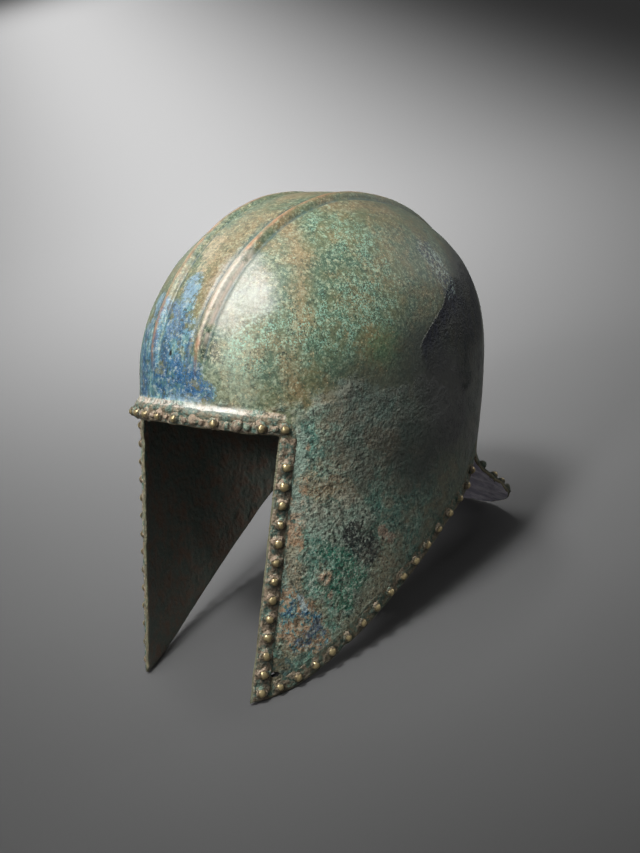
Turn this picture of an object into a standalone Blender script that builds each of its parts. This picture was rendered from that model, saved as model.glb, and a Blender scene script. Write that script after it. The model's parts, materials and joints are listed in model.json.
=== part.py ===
"""Illyrian helmet: one raised bronze sheet with an open face, two ribs over the crown,
long pointed cheek guards and a flared neck guard, edged all round by bands of rivet heads.

Everything is worked out in the attitude in which the helmet is worn, in metres, with Z up,
the face towards -Y, the wearer's left towards +X and height 0 at the cheek guard tips.
At the end the whole helmet is leaned back about X until the neck guard and both cheek guards
touch the surface, and it is moved so that the origin is the middle of its footprint box.
"""

import math

import bmesh
import bpy
from mathutils import Matrix, Vector
from mathutils.bvhtree import BVHTree

# Main sizes, as worn
CROWN_HEIGHT = 0.2692
BROW_HEIGHT = 0.1434
BROW_ARCH = 0.0038
SPRING_HEIGHT = 0.1720
BACK_SPRING_HEIGHT = 0.1853
FRONT_REACH = 0.1093
BACK_REACH = 0.1032
HALF_WIDTH = 0.0810
SHEET = 0.0018

# How the level sections change with height
FRONT_SECTION_POWER = 2.217
BACK_SECTION_POWER = 2.334
FRONT_CROWN_POWER = 1.79
BACK_CROWN_POWER = 2.20
SIDE_CROWN_POWER = 2.14
CROWN_SHIFT = -0.0014
BACK_TAPER = 0.073
CHEEK_TAPER = 0.121
CHEEK_FORWARD = 0.090
CHEEK_FLATTEN = 0.8

# Face opening and cheek guards
CORNER_X = 0.0562
TIP_X = 0.0434
REAR_EDGE = (
    {"along": -0.0800, "height": 0.0024},
    {"along": -0.0660, "height": 0.0085},
    {"along": -0.0355, "height": 0.0289},
    {"along": 0.0065, "height": 0.0631},
    {"along": 0.0330, "height": 0.0862},
    {"along": 0.0560, "height": 0.1025},
)
APEX_ALONG = 0.0640
APEX_HEIGHT = 0.1189
REAR_SPLIT = 0.62

# Ribs over the crown
RIB_X_BROW = 0.0168
RIB_X_CROWN = 0.0213
RIB_WIDTH = 0.0062
RIB_LIFT = 0.0021
RIB_FRONT_END = 0.172
RIB_BACK_END = 0.152
RIB_FADE = 0.020

# Brow ledge
FASCIA = 0.0072
COVE = 0.0055
LEDGE_LIFT = 0.0026
LEDGE_FADE = 0.019

# Neck guard
GUARD_OVERHANG = 0.0355
GUARD_START = 0.0022
GUARD_SPREAD = 2.14
GUARD_LOW = 0.0784
GUARD_SLOPE = 0.50
GUARD_HOOK = 0.0082
GUARD_HOOK_REACH = 0.005
GUARD_SECTION_HEIGHT = 0.110
GUARD_CORNER = 0.22
GUARD_CURL = 1.6

# Mesh steps
INNER_COLUMNS = 2
RIB_COLUMNS = 4
OUTER_COLUMNS = 3
SIDE_COLUMNS = 11
DOME_ROWS = 6
CHEEK_ROWS = 11
GUARD_ROWS = 4
TOP_RING_HEIGHT = 0.228
TOP_CORNER = math.radians(45)

# Bands and rivet heads
GAP = 0.0004
BAND = 0.0006
BAND_INSET = 0.0007
BROW_BORDER_PAST = 0.10
FRONT_BORDER_START = 0.0004
FRONT_BORDER_TIP = 0.0010
FRONT_BORDER_MITRE = 0.0020
REAR_BORDER_TIP = 0.0118
REAR_BORDER_MITRE = 0.0034
REAR_BORDER_NOTCH = 0.0040
NECK_BORDER_NOTCH = 0.0050
RIVET_SIDES = 8
HEAD_RINGS = (
    {"radius": 1.0, "lift": 0.0},
    {"radius": 0.80, "lift": 0.62},
)
CURVE_STEPS = 60
NORMAL_PROBE = 0.002

BANDS = {
    "brow_border": {"width": 0.0057, "head": 0.0026, "height": 0.0024, "count": 12},
    "cheek_front_border": {"width": 0.0088, "head": 0.0027, "height": 0.0024, "count": 14},
    "cheek_rear_border": {"width": 0.0080, "head": 0.0023, "height": 0.0022, "count": 16},
    "neck_border": {"width": 0.0068, "head": 0.0023, "height": 0.0022, "count": 17},
}


def mix(a, b, t):
    return a + (b - a) * t


def smooth(t):
    t = min(max(t, 0.0), 1.0)
    return t * t * (3 - 2 * t)


def rise(z, spring=SPRING_HEIGHT):
    """0 up to the spring line and 1 at the crown."""
    return min(max((z - spring) / (CROWN_HEIGHT - spring), 0.0), 1.0)


def dome(reach, power, z, spring=SPRING_HEIGHT):
    return reach * (1 - rise(z, spring) ** power) ** (1 / power)


def section(z):
    """Front reach, back reach, half width and middle of the level section at height z."""
    below_spring = max(BACK_SPRING_HEIGHT - z, 0.0)
    below_brow = max(BROW_HEIGHT - z, 0.0)
    front = dome(FRONT_REACH, FRONT_CROWN_POWER, z) + CHEEK_FORWARD * below_brow
    back = dome(BACK_REACH, BACK_CROWN_POWER, z, BACK_SPRING_HEIGHT) - BACK_TAPER * below_spring
    half = dome(HALF_WIDTH, SIDE_CROWN_POWER, z) - CHEEK_TAPER * below_brow
    return front, back, half, CROWN_SHIFT * rise(z) ** 2


def front_power(z):
    """The front half of a section is flatter down the cheek guards."""
    return FRONT_SECTION_POWER - CHEEK_FLATTEN * max(BROW_HEIGHT - z, 0.0)


def skin(turn, z):
    """Point of the skin at height z, turned from the front (0) by the side to the back (pi)."""
    front, back, half, middle = section(z)
    ahead = math.cos(turn)
    power, reach = (front_power(z), front) if ahead > 0 else (BACK_SECTION_POWER, back)
    x = half * math.sin(turn) ** (2 / power)
    y = -math.copysign(reach * abs(ahead) ** (2 / power), ahead) + middle
    return Vector((x, y, z))


def turn_at_x(x, z, behind=False):
    half = section(z)[2]
    power = BACK_SECTION_POWER if behind else front_power(z)
    turn = math.asin(min(x / half, 1.0) ** (power / 2))
    return math.pi - turn if behind else turn


def turn_at_y(y, z):
    front, back, _, middle = section(z)
    y -= middle
    if y < 0:
        return math.acos(min(-y / front, 1.0) ** (front_power(z) / 2))
    return math.pi / 2 + math.asin(min(y / back, 1.0) ** (BACK_SECTION_POWER / 2))


def height_over(x, y):
    """Height of the crown over a point of the plan."""
    low, high = SPRING_HEIGHT, CROWN_HEIGHT
    for _ in range(48):
        z = (low + high) / 2
        front, back, half, middle = section(z)
        ahead = y < middle
        power = FRONT_SECTION_POWER if ahead else BACK_SECTION_POWER
        reach = front if ahead else back
        inside = abs(x / max(half, 1e-9)) ** power + abs((y - middle) / max(reach, 1e-9)) ** power
        if inside < 1:
            low = z
        else:
            high = z
    return low


def rib_x(z):
    return mix(RIB_X_BROW, RIB_X_CROWN, rise(z))


def column_xs(z):
    """Half plan distances of the columns that run over the crown: middle, rib, outer edge."""
    centre = rib_x(z)
    inner = centre - RIB_WIDTH / 2
    xs = [inner * k / INNER_COLUMNS for k in range(INNER_COLUMNS + 1)]
    xs += [inner + RIB_WIDTH * k / RIB_COLUMNS for k in range(1, RIB_COLUMNS + 1)]
    return xs


RIB_SHAPE = {INNER_COLUMNS + 1: 0.78, INNER_COLUMNS + 2: 1.0, INNER_COLUMNS + 3: 0.78}


def brow_arch(part, z):
    """How far a level line over the brow bows up, at a part of the way to the brow corner."""
    fade = (TOP_RING_HEIGHT - z) / (TOP_RING_HEIGHT - BROW_HEIGHT)
    return BROW_ARCH * max(1 - part * part, 0.0) * fade


def front_edge_x(z):
    return mix(TIP_X, CORNER_X, z / BROW_HEIGHT)


def front_corner(z):
    """Turn of the line that climbs from the brow corner to the corner of the crown patch."""
    start = turn_at_x(CORNER_X, BROW_HEIGHT)
    return mix(start, TOP_CORNER, (z - BROW_HEIGHT) / (TOP_RING_HEIGHT - BROW_HEIGHT))


def back_corner(z):
    """Turn of the line that climbs from the notch above the cheek guard to the crown patch."""
    start = turn_at_y(APEX_ALONG, APEX_HEIGHT)
    part = (z - APEX_HEIGHT) / (TOP_RING_HEIGHT - APEX_HEIGHT)
    return mix(start, math.pi - TOP_CORNER, part)


def front_rows():
    steps = [0.0, FASCIA, FASCIA + COVE * 0.45, FASCIA + COVE]
    rows = [BROW_HEIGHT + step for step in steps]
    start = rows[-1]
    rows += [mix(start, TOP_RING_HEIGHT, k / DOME_ROWS) for k in range(1, DOME_ROWS + 1)]
    return rows


FRONT_ROWS = front_rows()
ROWS = len(FRONT_ROWS) - 1
BACK_ROWS = [mix(APEX_HEIGHT, TOP_RING_HEIGHT, k / ROWS) for k in range(ROWS + 1)]


def curve_through(points):
    """Dense smooth curve (centripetal Catmull-Rom) through the given vectors."""
    ends = [points[0] * 2 - points[1]] + list(points) + [points[-1] * 2 - points[-2]]
    out = []
    for a, b, c, d in zip(ends, ends[1:], ends[2:], ends[3:]):
        ta = (b - a).length ** 0.5
        tb = ta + (c - b).length ** 0.5
        tc = tb + (d - c).length ** 0.5
        for k in range(16):
            t = mix(ta, tb, k / 16)
            ab = a.lerp(b, t / ta)
            bc = b.lerp(c, (t - ta) / (tb - ta))
            cd = c.lerp(d, (t - tb) / (tc - tb))
            abc = ab.lerp(bc, t / tb)
            bcd = bc.lerp(cd, (t - ta) / (tc - ta))
            out.append(abc.lerp(bcd, (t - ta) / (tb - ta)))
    return out + [points[-1]]


def along(curve, distance):
    """Point at a distance along a polyline, going on straight past its end."""
    for a, b in zip(curve, curve[1:]):
        step = (b - a).length
        if distance <= step or b is curve[-1]:
            return a + (b - a) * (distance / step)
        distance -= step


def length_of(curve):
    return sum((b - a).length for a, b in zip(curve, curve[1:]))


def rear_edge_side_view():
    """The cheek guard's rear edge from the tip to the notch, as (0, along, height)."""
    tip = skin(turn_at_x(TIP_X, 0.0), 0.0)
    points = [Vector((0, tip.y, 0.0))]
    points += [Vector((0, row["along"], row["height"])) for row in REAR_EDGE]
    return curve_through(points + [Vector((0, APEX_ALONG, APEX_HEIGHT))])


def rear_edge(part):
    """(turn, height) at a part, 0 to 1, of the rear edge's length from tip to notch."""
    point = along(REAR_CURVE, part * REAR_LENGTH)
    return turn_at_y(point.y, point.z), point.z


REAR_CURVE = rear_edge_side_view()
REAR_LENGTH = length_of(REAR_CURVE)


def guard_rim(part):
    """Point on the neck guard's edge, from the notch (0) round to the middle of the back (1)."""
    start = turn_at_y(APEX_ALONG, APEX_HEIGHT)
    turn = mix(start, math.pi, part)
    _, back, half, _ = section(GUARD_SECTION_HEIGHT)
    point = skin(turn, GUARD_SECTION_HEIGHT)
    power = BACK_SECTION_POWER
    outward = Vector(((point.x / half) ** (power - 1) / half, (point.y / back) ** (power - 1) / back, 0))
    spread = 1 - (1 - part) ** GUARD_SPREAD
    point += outward.normalized() * mix(GUARD_START, GUARD_OVERHANG, spread)
    hook = GUARD_HOOK * math.exp((APEX_ALONG - point.y) / GUARD_HOOK_REACH)
    back_end = back + GUARD_OVERHANG
    point.z = GUARD_LOW + GUARD_SLOPE * (back_end - point.y) + hook
    return point


def guard_point(root, rim, part):
    """Point at a part of the way down from the neck guard's root to its rim."""
    out = part ** GUARD_CURL
    return Vector((mix(root.x, rim.x, out), mix(root.y, rim.y, out), mix(root.z, rim.z, part)))


def rib_strength(z, behind):
    end = RIB_BACK_END if behind else RIB_FRONT_END
    return smooth((z - end) / RIB_FADE)


def front_patch():
    """Rows of points from the brow edge up to the crown patch, each from the middle outwards."""
    rows = []
    for z in FRONT_ROWS:
        turns = [turn_at_x(x, z) for x in column_xs(z)]
        last, corner = turns[-1], front_corner(z)
        turns += [mix(last, corner, k / OUTER_COLUMNS) for k in range(1, OUTER_COLUMNS + 1)]
        reach = skin(corner, z).x
        rows.append([skin(turn, z + brow_arch(skin(turn, z).x / reach, z)) for turn in turns])
    return rows


def back_patch():
    rows = []
    for z in BACK_ROWS:
        turns = [turn_at_x(x, z, behind=True) for x in column_xs(z)]
        last, corner = turns[-1], back_corner(z)
        turns += [mix(last, corner, k / OUTER_COLUMNS) for k in range(1, OUTER_COLUMNS + 1)]
        rows.append([skin(turn, z) for turn in turns])
    return rows


def side_patch():
    """Rows over the ear, each from the front corner line round to the back corner line."""
    rows = []
    for ahead, behind in zip(FRONT_ROWS, BACK_ROWS):
        row = []
        for k in range(SIDE_COLUMNS + 1):
            part = k / SIDE_COLUMNS
            z = mix(ahead, behind, part)
            row.append(skin(mix(front_corner(ahead), back_corner(behind), part), z))
        rows.append(row)
    return rows


def crown_patch(front, side, back):
    """Rows across the crown from front to back, each from the middle outwards."""
    ends = [front[-1][0], back[-1][0]]
    middle = []
    for k in range(65):
        y = mix(ends[0].y, ends[1].y, k / 64)
        middle.append(Vector((0, y, height_over(0, y))))
    length = length_of(middle)
    rows = [front[-1]]
    for k in range(1, SIDE_COLUMNS):
        centre = along(middle, length * k / SIDE_COLUMNS)
        edge = side[-1][k]
        xs = column_xs(centre.z)
        xs += [mix(xs[-1], edge.x, n / OUTER_COLUMNS) for n in range(1, OUTER_COLUMNS + 1)]
        row = []
        for x in xs[:-1]:
            y = mix(centre.y, edge.y, (x / edge.x) ** 2)
            row.append(Vector((x, y, height_over(x, y))))
        rows.append(row + [edge])
    return rows + [back[-1]]


def cheek_patch():
    """Rows from the ear down to the tip: a blend between the guard's four edges."""
    def top(u):
        z = mix(BROW_HEIGHT, APEX_HEIGHT, u)
        return Vector((mix(front_corner(BROW_HEIGHT), back_corner(APEX_HEIGHT), u), z))

    def bottom(u):
        return Vector(rear_edge(REAR_SPLIT * u))

    def ahead(v):
        z = BROW_HEIGHT * (1 - v)
        return Vector((turn_at_x(front_edge_x(z), z), z))

    def behind(v):
        return Vector(rear_edge(mix(1.0, REAR_SPLIT, v)))

    rows = []
    for n in range(CHEEK_ROWS + 1):
        v = n / CHEEK_ROWS
        row = []
        for k in range(SIDE_COLUMNS + 1):
            u = k / SIDE_COLUMNS
            spot = top(u) * (1 - v) + bottom(u) * v + ahead(v) * (1 - u) + behind(v) * u
            spot -= (top(0) * (1 - u) + top(1) * u) * (1 - v)
            spot -= (bottom(0) * (1 - u) + bottom(1) * u) * v
            row.append(skin(spot[0], spot[1]))
        rows.append(row)
    return rows


def guard_patch(root):
    """Rows of the neck guard from its root on the bowl out to its edge, curling outwards."""
    far = [0.0]
    for a, b in zip(root, root[1:]):
        far.append(far[-1] + (b - a).length)
    rims = [guard_rim(mix(1.0, GUARD_CORNER, distance / far[-1])) for distance in far]
    rows = []
    for n in range(GUARD_ROWS + 1):
        rows.append([guard_point(a, b, n / GUARD_ROWS) for a, b in zip(root, rims)])
    return rows


def add_grid(mesh, rows, lifts=None, flip=False):
    layer = mesh.verts.layers.float["lift"]
    grid = []
    for n, row in enumerate(rows):
        verts = [mesh.verts.new(point) for point in row]
        for k, vert in enumerate(verts):
            vert[layer] = lifts(n, k, vert.co) if lifts else 0.0
        grid.append(verts)
    for low, high in zip(grid, grid[1:]):
        for a, b, c, d in zip(low, low[1:], high[1:], high):
            corners = (a, b, c, d)
            mesh.faces.new(corners[::-1] if flip else corners)


def front_lift(n, k, point):
    """Brow ledge low down, and the rib from above the forehead."""
    above = FRONT_ROWS[n] - BROW_HEIGHT
    ledge = LEDGE_LIFT * (1 - smooth((above - FASCIA) / COVE))
    corner = skin(front_corner(FRONT_ROWS[n]), FRONT_ROWS[n])
    ledge *= smooth((corner - point).length / LEDGE_FADE)
    return ledge + RIB_LIFT * RIB_SHAPE.get(k, 0.0) * rib_strength(point.z, False)


def back_lift(_, k, point):
    return RIB_LIFT * RIB_SHAPE.get(k, 0.0) * rib_strength(point.z, True)


def crown_lift(_, k, __):
    return RIB_LIFT * RIB_SHAPE.get(k, 0.0)


def build_sheet():
    """The outer face of the whole sheet as one bmesh of quads, both halves."""
    mesh = bmesh.new()
    mesh.verts.layers.float.new("lift")
    front, back, side = front_patch(), back_patch(), side_patch()
    add_grid(mesh, front, front_lift)
    add_grid(mesh, back, back_lift, flip=True)
    add_grid(mesh, side)
    add_grid(mesh, crown_patch(front, side, back), crown_lift)
    add_grid(mesh, cheek_patch(), flip=True)
    add_grid(mesh, guard_patch(back[0]))
    bmesh.ops.remove_doubles(mesh, verts=mesh.verts, dist=1e-6)
    bmesh.ops.mirror(mesh, geom=mesh.verts[:] + mesh.edges[:] + mesh.faces[:],
                     axis="X", merge_dist=1e-6)
    bmesh.ops.remove_doubles(mesh, verts=mesh.verts, dist=1e-6)
    bmesh.ops.recalc_face_normals(mesh, faces=mesh.faces)
    crown_face = max(mesh.faces, key=lambda face: face.calc_center_median().z)
    if crown_face.normal.z < 0:
        bmesh.ops.reverse_faces(mesh, faces=mesh.faces)
    mesh.normal_update()
    layer = mesh.verts.layers.float["lift"]
    moves = [(vert, vert.normal * vert[layer]) for vert in mesh.verts]
    for vert, move in moves:
        vert.co += move
    mesh.normal_update()
    return mesh


def bronze(name, colour, roughness, metallic):
    material = bpy.data.materials.new(name)
    material.use_nodes = True
    shader = material.node_tree.nodes["Principled BSDF"]
    shader.inputs["Base Color"].default_value = (*colour, 1.0)
    shader.inputs["Roughness"].default_value = roughness
    shader.inputs["Metallic"].default_value = metallic
    return material


def add_object(name, mesh, material, parent):
    data = bpy.data.meshes.new(name)
    mesh.to_mesh(data)
    mesh.free()
    data.materials.append(material)
    data.shade_smooth()
    data.set_sharp_from_angle(angle=math.radians(35))
    piece = bpy.data.objects.new(name, data)
    bpy.context.scene.collection.objects.link(piece)
    piece.parent = parent
    return piece


def thicken(sheet):
    """The sheet's own thickness, laid inwards, so its outer face stays where it is."""
    bmesh.ops.solidify(sheet, geom=sheet.faces[:], thickness=SHEET)
    bmesh.ops.recalc_face_normals(sheet, faces=sheet.faces)


def mirrored(curve):
    """The curve carried on over the middle plane, from its end on +X to its twin on -X."""
    return curve + [Vector((-point.x, point.y, point.z)) for point in curve[-2::-1]]


def brow_curve():
    """Along the brow edge and a border's width past each corner."""
    start = front_corner(BROW_HEIGHT) + BROW_BORDER_PAST
    half = []
    for k in range(CURVE_STEPS + 1):
        turn = mix(start, 0.0, k / CURVE_STEPS)
        arch = brow_arch(skin(turn, BROW_HEIGHT).x / CORNER_X, BROW_HEIGHT)
        half.append(skin(turn, BROW_HEIGHT + arch))
    return mirrored(half)


def front_curve():
    heights = [BROW_HEIGHT * (1 - k / CURVE_STEPS) for k in range(CURVE_STEPS + 1)]
    return [skin(turn_at_x(front_edge_x(z), z), z) for z in heights]


def rear_curve():
    return [skin(*rear_edge(k / (2 * CURVE_STEPS))) for k in range(2 * CURVE_STEPS + 1)]


def neck_curve():
    root = skin(back_corner(APEX_HEIGHT), APEX_HEIGHT)
    corner = guard_rim(GUARD_CORNER)
    side = [guard_point(root, corner, k / CURVE_STEPS) for k in range(CURVE_STEPS)]
    rim = [guard_rim(mix(GUARD_CORNER, 1.0, k / CURVE_STEPS)) for k in range(CURVE_STEPS + 1)]
    return mirrored(side + rim)


class Skin:
    """The outer face of the sheet, to lay the bands on."""

    def __init__(self, sheet):
        self.tree = BVHTree.FromBMesh(sheet)

    def edge(self, curve):
        return [self.place(point, 0.0) for point in curve]

    def place(self, point, lift):
        spot, normal, _, _ = self.tree.find_nearest(point)
        return spot + normal * lift

    def normal(self, point):
        total = Vector()
        for axis in (Vector((1, 0, 0)), Vector((0, 1, 0)), Vector((0, 0, 1))):
            for step in (-NORMAL_PROBE, NORMAL_PROBE):
                total += self.tree.find_nearest(point + axis * step)[1]
        return total.normalized()


def band(face, curve, inward, spec, seams, rivets):
    """A thin band along an edge with a domed rivet head fused to each of its cells.

    seams holds a pair of distances for each cell border, at the sheet's edge and at the
    band's inner side. rivets holds the distance of each head, or None for a lost one.
    inward points from the edge into the sheet.
    """
    mesh = bmesh.new()
    depths = (BAND_INSET, BAND_INSET + spec["width"] / 2, BAND_INSET + spec["width"])

    def frame(distance):
        point = along(curve, distance)
        after, before = along(curve, distance + BAND), along(curve, distance - BAND)
        ahead = (after - before).normalized()
        up = face.normal(point)
        across = up.cross(ahead).normalized()
        if across.dot(inward(point)) < 0:
            across = -across
        return point, across

    def spot(distance, depth, lift):
        point, across = frame(distance)
        return face.place(point + across * depth, lift)

    lines = []
    for edge_at, inner_at in seams:
        lines.append((edge_at, (edge_at + inner_at) / 2, inner_at))
    stations = []
    for low, high, rivet in zip(lines, lines[1:], rivets):
        stations.append((low, None))
        middle = tuple((a + b) / 2 for a, b in zip(low, high))
        stations.append((middle, rivet))
    stations.append((lines[-1], None))

    top, floor = [], []
    for distances, _ in stations:
        top.append([mesh.verts.new(spot(s, d, GAP + BAND)) for s, d in zip(distances, depths)])
        floor.append([mesh.verts.new(spot(distances[n], depths[n], GAP)) for n in (0, 2)])
    for n in range(0, len(stations) - 1, 2):
        first, middle, last = top[n], top[n + 1], top[n + 2]
        ring = [first[0], middle[0], last[0], last[1], last[2], middle[2], first[2], first[1]]
        where = stations[n + 1][1]
        if where is None:
            for a, b in zip(ring, ring[1:] + ring[:1]):
                mesh.faces.new((a, b, middle[1]))
        else:
            mesh.verts.remove(middle[1])
            centre = spot(where, depths[1], GAP + BAND)
            add_head(mesh, ring, centre, face.normal(centre), spec)
        for a, b in ((n, n + 1), (n + 1, n + 2)):
            mesh.faces.new((top[a][0], floor[a][0], floor[b][0], top[b][0]))
            mesh.faces.new((top[a][2], top[b][2], floor[b][1], floor[a][1]))
            mesh.faces.new((floor[a][0], floor[a][1], floor[b][1], floor[b][0]))
    for end in (0, -1):
        mesh.faces.new((top[end][0], top[end][1], top[end][2], floor[end][1], floor[end][0]))
    bmesh.ops.recalc_face_normals(mesh, faces=mesh.faces)
    return mesh


def add_head(mesh, ring, centre, up, spec):
    """A domed head inside a ring of eight points: its foot, its shoulder and its top."""
    side = (ring[0].co - centre).normalized()
    side = (side - up * side.dot(up)).normalized()
    other = up.cross(side)
    if other.dot(ring[1].co - centre) < 0:
        other = -other
    circles = []
    for ring_row in HEAD_RINGS:
        radius = spec["head"] * ring_row["radius"]
        height = up * spec["height"] * ring_row["lift"]
        circle = []
        for k in range(RIVET_SIDES):
            turn = 2 * math.pi * k / RIVET_SIDES
            spoke = side * math.cos(turn) + other * math.sin(turn)
            circle.append(mesh.verts.new(centre + spoke * radius + height))
        circles.append(circle)
    tip = mesh.verts.new(centre + up * spec["height"])
    foot, shoulder = circles
    for k in range(RIVET_SIDES):
        after = (k + 1) % RIVET_SIDES
        mesh.faces.new((ring[k], ring[after], foot[after], foot[k]))
        mesh.faces.new((foot[k], foot[after], shoulder[after], shoulder[k]))
        mesh.faces.new((shoulder[k], shoulder[after], tip))


def cells(start, stop, count):
    """Even cell borders and the rivet place in the middle of each cell."""
    borders = [mix(start, stop, k / count) for k in range(count + 1)]
    places = [(a + b) / 2 for a, b in zip(borders, borders[1:])]
    return [(border, border) for border in borders], places


def mirror_copy(mesh):
    twin = mesh.copy()
    bmesh.ops.scale(twin, vec=(-1, 1, 1), verts=twin.verts)
    bmesh.ops.reverse_faces(twin, faces=twin.faces)
    return twin


def brow_border(face):
    curve = face.edge(brow_curve())
    spec = BANDS["brow_border"]
    seams, places = cells(0, length_of(curve), spec["count"])
    return {"brow_border": band(face, curve, lambda point: Vector((0, 0, 1)), spec, seams, places)}


def cheek_front_borders(face):
    """The wearer's left border has lost its topmost rivet."""
    curve = face.edge(front_curve())
    spec = BANDS["cheek_front_border"]
    seams, places = cells(FRONT_BORDER_START, length_of(curve) - FRONT_BORDER_TIP, spec["count"])
    seams[-1] = (seams[-1][0], seams[-1][1] - FRONT_BORDER_MITRE)
    whole = band(face, curve, lambda point: Vector((0, 1, 0)), spec, seams, places)
    places[0] = None
    worn = band(face, curve, lambda point: Vector((0, 1, 0)), spec, seams, places)
    return {"cheek_front_border_l": worn, "cheek_front_border_r": mirror_copy(whole)}


def cheek_rear_borders(face):
    curve = face.edge(rear_curve())
    spec = BANDS["cheek_rear_border"]
    seams, places = cells(REAR_BORDER_TIP, length_of(curve) - REAR_BORDER_NOTCH, spec["count"])
    seams[0] = (seams[0][0], seams[0][1] + REAR_BORDER_MITRE)
    left = band(face, curve, lambda point: Vector((0, -1, 1)), spec, seams, places)
    return {"cheek_rear_border_l": left, "cheek_rear_border_r": mirror_copy(left)}


def neck_border(face):
    curve = face.edge(neck_curve())
    spec = BANDS["neck_border"]
    seams, places = cells(NECK_BORDER_NOTCH, length_of(curve) - NECK_BORDER_NOTCH, spec["count"])
    root = Vector((0, 0, APEX_HEIGHT))
    return {"neck_border": band(face, curve, lambda point: root - point, spec, seams, places)}


def resting_lean(points):
    """The lean, in radians, at which the cheek guards and the neck guard are equally low."""
    def drop(lean, chosen):
        return min(z * math.cos(lean) - y * math.sin(lean) for y, z in chosen)

    ahead = [(p.y, p.z) for p in points if p.y < 0]
    behind = [(p.y, p.z) for p in points if p.y > BACK_REACH]
    low, high = 0.0, math.radians(60)
    for _ in range(40):
        lean = (low + high) / 2
        if drop(lean, behind) > drop(lean, ahead):
            low = lean
        else:
            high = lean
    return lean


def stand(points):
    """The move from the worn attitude to the resting one, with the origin under the middle."""
    lean = Matrix.Rotation(-resting_lean(points), 4, "X")
    rested = [lean @ point for point in points]
    ys = [point.y for point in rested]
    shift = Vector((0, -(min(ys) + max(ys)) / 2, -min(point.z for point in rested)))
    return Matrix.Translation(shift) @ lean


def main():
    for old in list(bpy.data.objects):
        bpy.data.objects.remove(old)
    patina = bronze("patinated bronze sheet", (0.13, 0.19, 0.14), 0.62, 0.35)
    head_bronze = bronze("rubbed bronze rivet heads", (0.36, 0.29, 0.17), 0.48, 0.55)
    worn = bpy.data.objects.new("worn_attitude", None)
    bpy.context.scene.collection.objects.link(worn)

    sheet = build_sheet()
    face = Skin(sheet)
    bands = {}
    for build in (brow_border, cheek_front_borders, cheek_rear_borders, neck_border):
        bands.update(build(face))
    thicken(sheet)
    points = [vert.co.copy() for vert in sheet.verts]
    points += [vert.co.copy() for mesh in bands.values() for vert in mesh.verts]
    worn.matrix_world = stand(points)
    add_object("helmet_shell", sheet, patina, worn)
    for name, mesh in bands.items():
        add_object(name, mesh, head_bronze, worn)


main()
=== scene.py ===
# Illyrian helmet: the finish of every surface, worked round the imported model. Metres, +Z up.
import json
import math
import random
import bpy
import numpy as np
from mathutils import Matrix, Vector, noise
from mathutils.bvhtree import BVHTree
from mathutils.kdtree import KDTree


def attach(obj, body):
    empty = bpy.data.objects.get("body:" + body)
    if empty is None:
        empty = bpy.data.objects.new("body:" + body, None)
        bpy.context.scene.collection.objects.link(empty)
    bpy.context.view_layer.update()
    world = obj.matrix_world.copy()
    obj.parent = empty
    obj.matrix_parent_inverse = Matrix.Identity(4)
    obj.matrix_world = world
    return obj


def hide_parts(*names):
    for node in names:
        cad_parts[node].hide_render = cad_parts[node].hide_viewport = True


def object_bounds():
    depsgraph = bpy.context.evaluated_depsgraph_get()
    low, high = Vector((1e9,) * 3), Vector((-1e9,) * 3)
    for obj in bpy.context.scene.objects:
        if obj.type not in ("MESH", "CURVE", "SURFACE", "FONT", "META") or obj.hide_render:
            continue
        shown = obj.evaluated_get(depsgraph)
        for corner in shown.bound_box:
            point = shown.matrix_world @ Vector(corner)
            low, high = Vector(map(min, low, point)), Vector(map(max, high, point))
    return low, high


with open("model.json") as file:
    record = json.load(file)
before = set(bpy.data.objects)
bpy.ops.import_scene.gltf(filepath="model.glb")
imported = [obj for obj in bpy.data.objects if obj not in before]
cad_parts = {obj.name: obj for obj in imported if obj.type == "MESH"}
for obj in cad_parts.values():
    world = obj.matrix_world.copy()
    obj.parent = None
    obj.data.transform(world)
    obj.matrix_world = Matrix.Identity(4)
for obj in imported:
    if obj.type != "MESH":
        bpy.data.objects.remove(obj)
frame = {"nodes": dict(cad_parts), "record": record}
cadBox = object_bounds()
bpy.ops.object.select_all(action="DESELECT")
mm = 0.001

# The helmet rests leaning back. Stains are placed in the coordinates of the helmet upright, as worn.
uprightSeat = Vector((0.0, -0.0014, 0.2674))  # the head seat's place there
seatMount = next(m for m in frame["record"]["mounts"] if m["name"] == "head_seat")
seatAt, seatUp = Vector(seatMount["pos_m"]), -Vector(seatMount["axis"])
leanBack = math.atan2(seatUp.y, seatUp.z)
toRest = Matrix.Translation(seatAt) @ Matrix.Rotation(-leanBack, 4, "X") @ Matrix.Translation(-uprightSeat)
toUpright = toRest.inverted()


# Numbers

def smoothStep(low, high, values):
    t = np.clip((values - low) / (high - low), 0.0, 1.0)
    return t * t * (3 - 2 * t)


def tone(red, green, blue):  # sRGB from 0 to 255 as linear colour
    linear = []
    for part in (red, green, blue):
        part /= 255
        linear.append(part / 12.92 if part <= 0.04045 else ((part + 0.055) / 1.055) ** 2.4)
    return (*linear, 1.0)


def wander(points, size, seed, octaves=3):  # about -1 to 1, in lumps of that size
    shift = Vector((seed, seed * 0.7, -seed * 1.3))
    return np.array([noise.fractal(Vector(p) / size + shift, 1.0, 2.0, octaves) for p in points])


# Mesh helpers

def readPoints(piece):
    flat = np.empty(len(piece.data.vertices) * 3, np.float32)
    piece.data.vertices.foreach_get("co", flat)
    return flat.reshape(-1, 3).astype(float)


def writePoints(piece, points):
    piece.data.vertices.foreach_set("co", points.astype(np.float32).ravel())
    piece.data.update()


def readNormals(piece):
    flat = np.empty(len(piece.data.vertices) * 3, np.float32)
    piece.data.vertex_normals.foreach_get("vector", flat)
    return flat.reshape(-1, 3).astype(float)


def readEdges(piece):
    flat = np.empty(len(piece.data.edges) * 2, np.int32)
    piece.data.edges.foreach_get("vertices", flat)
    return flat.reshape(-1, 2)


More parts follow.
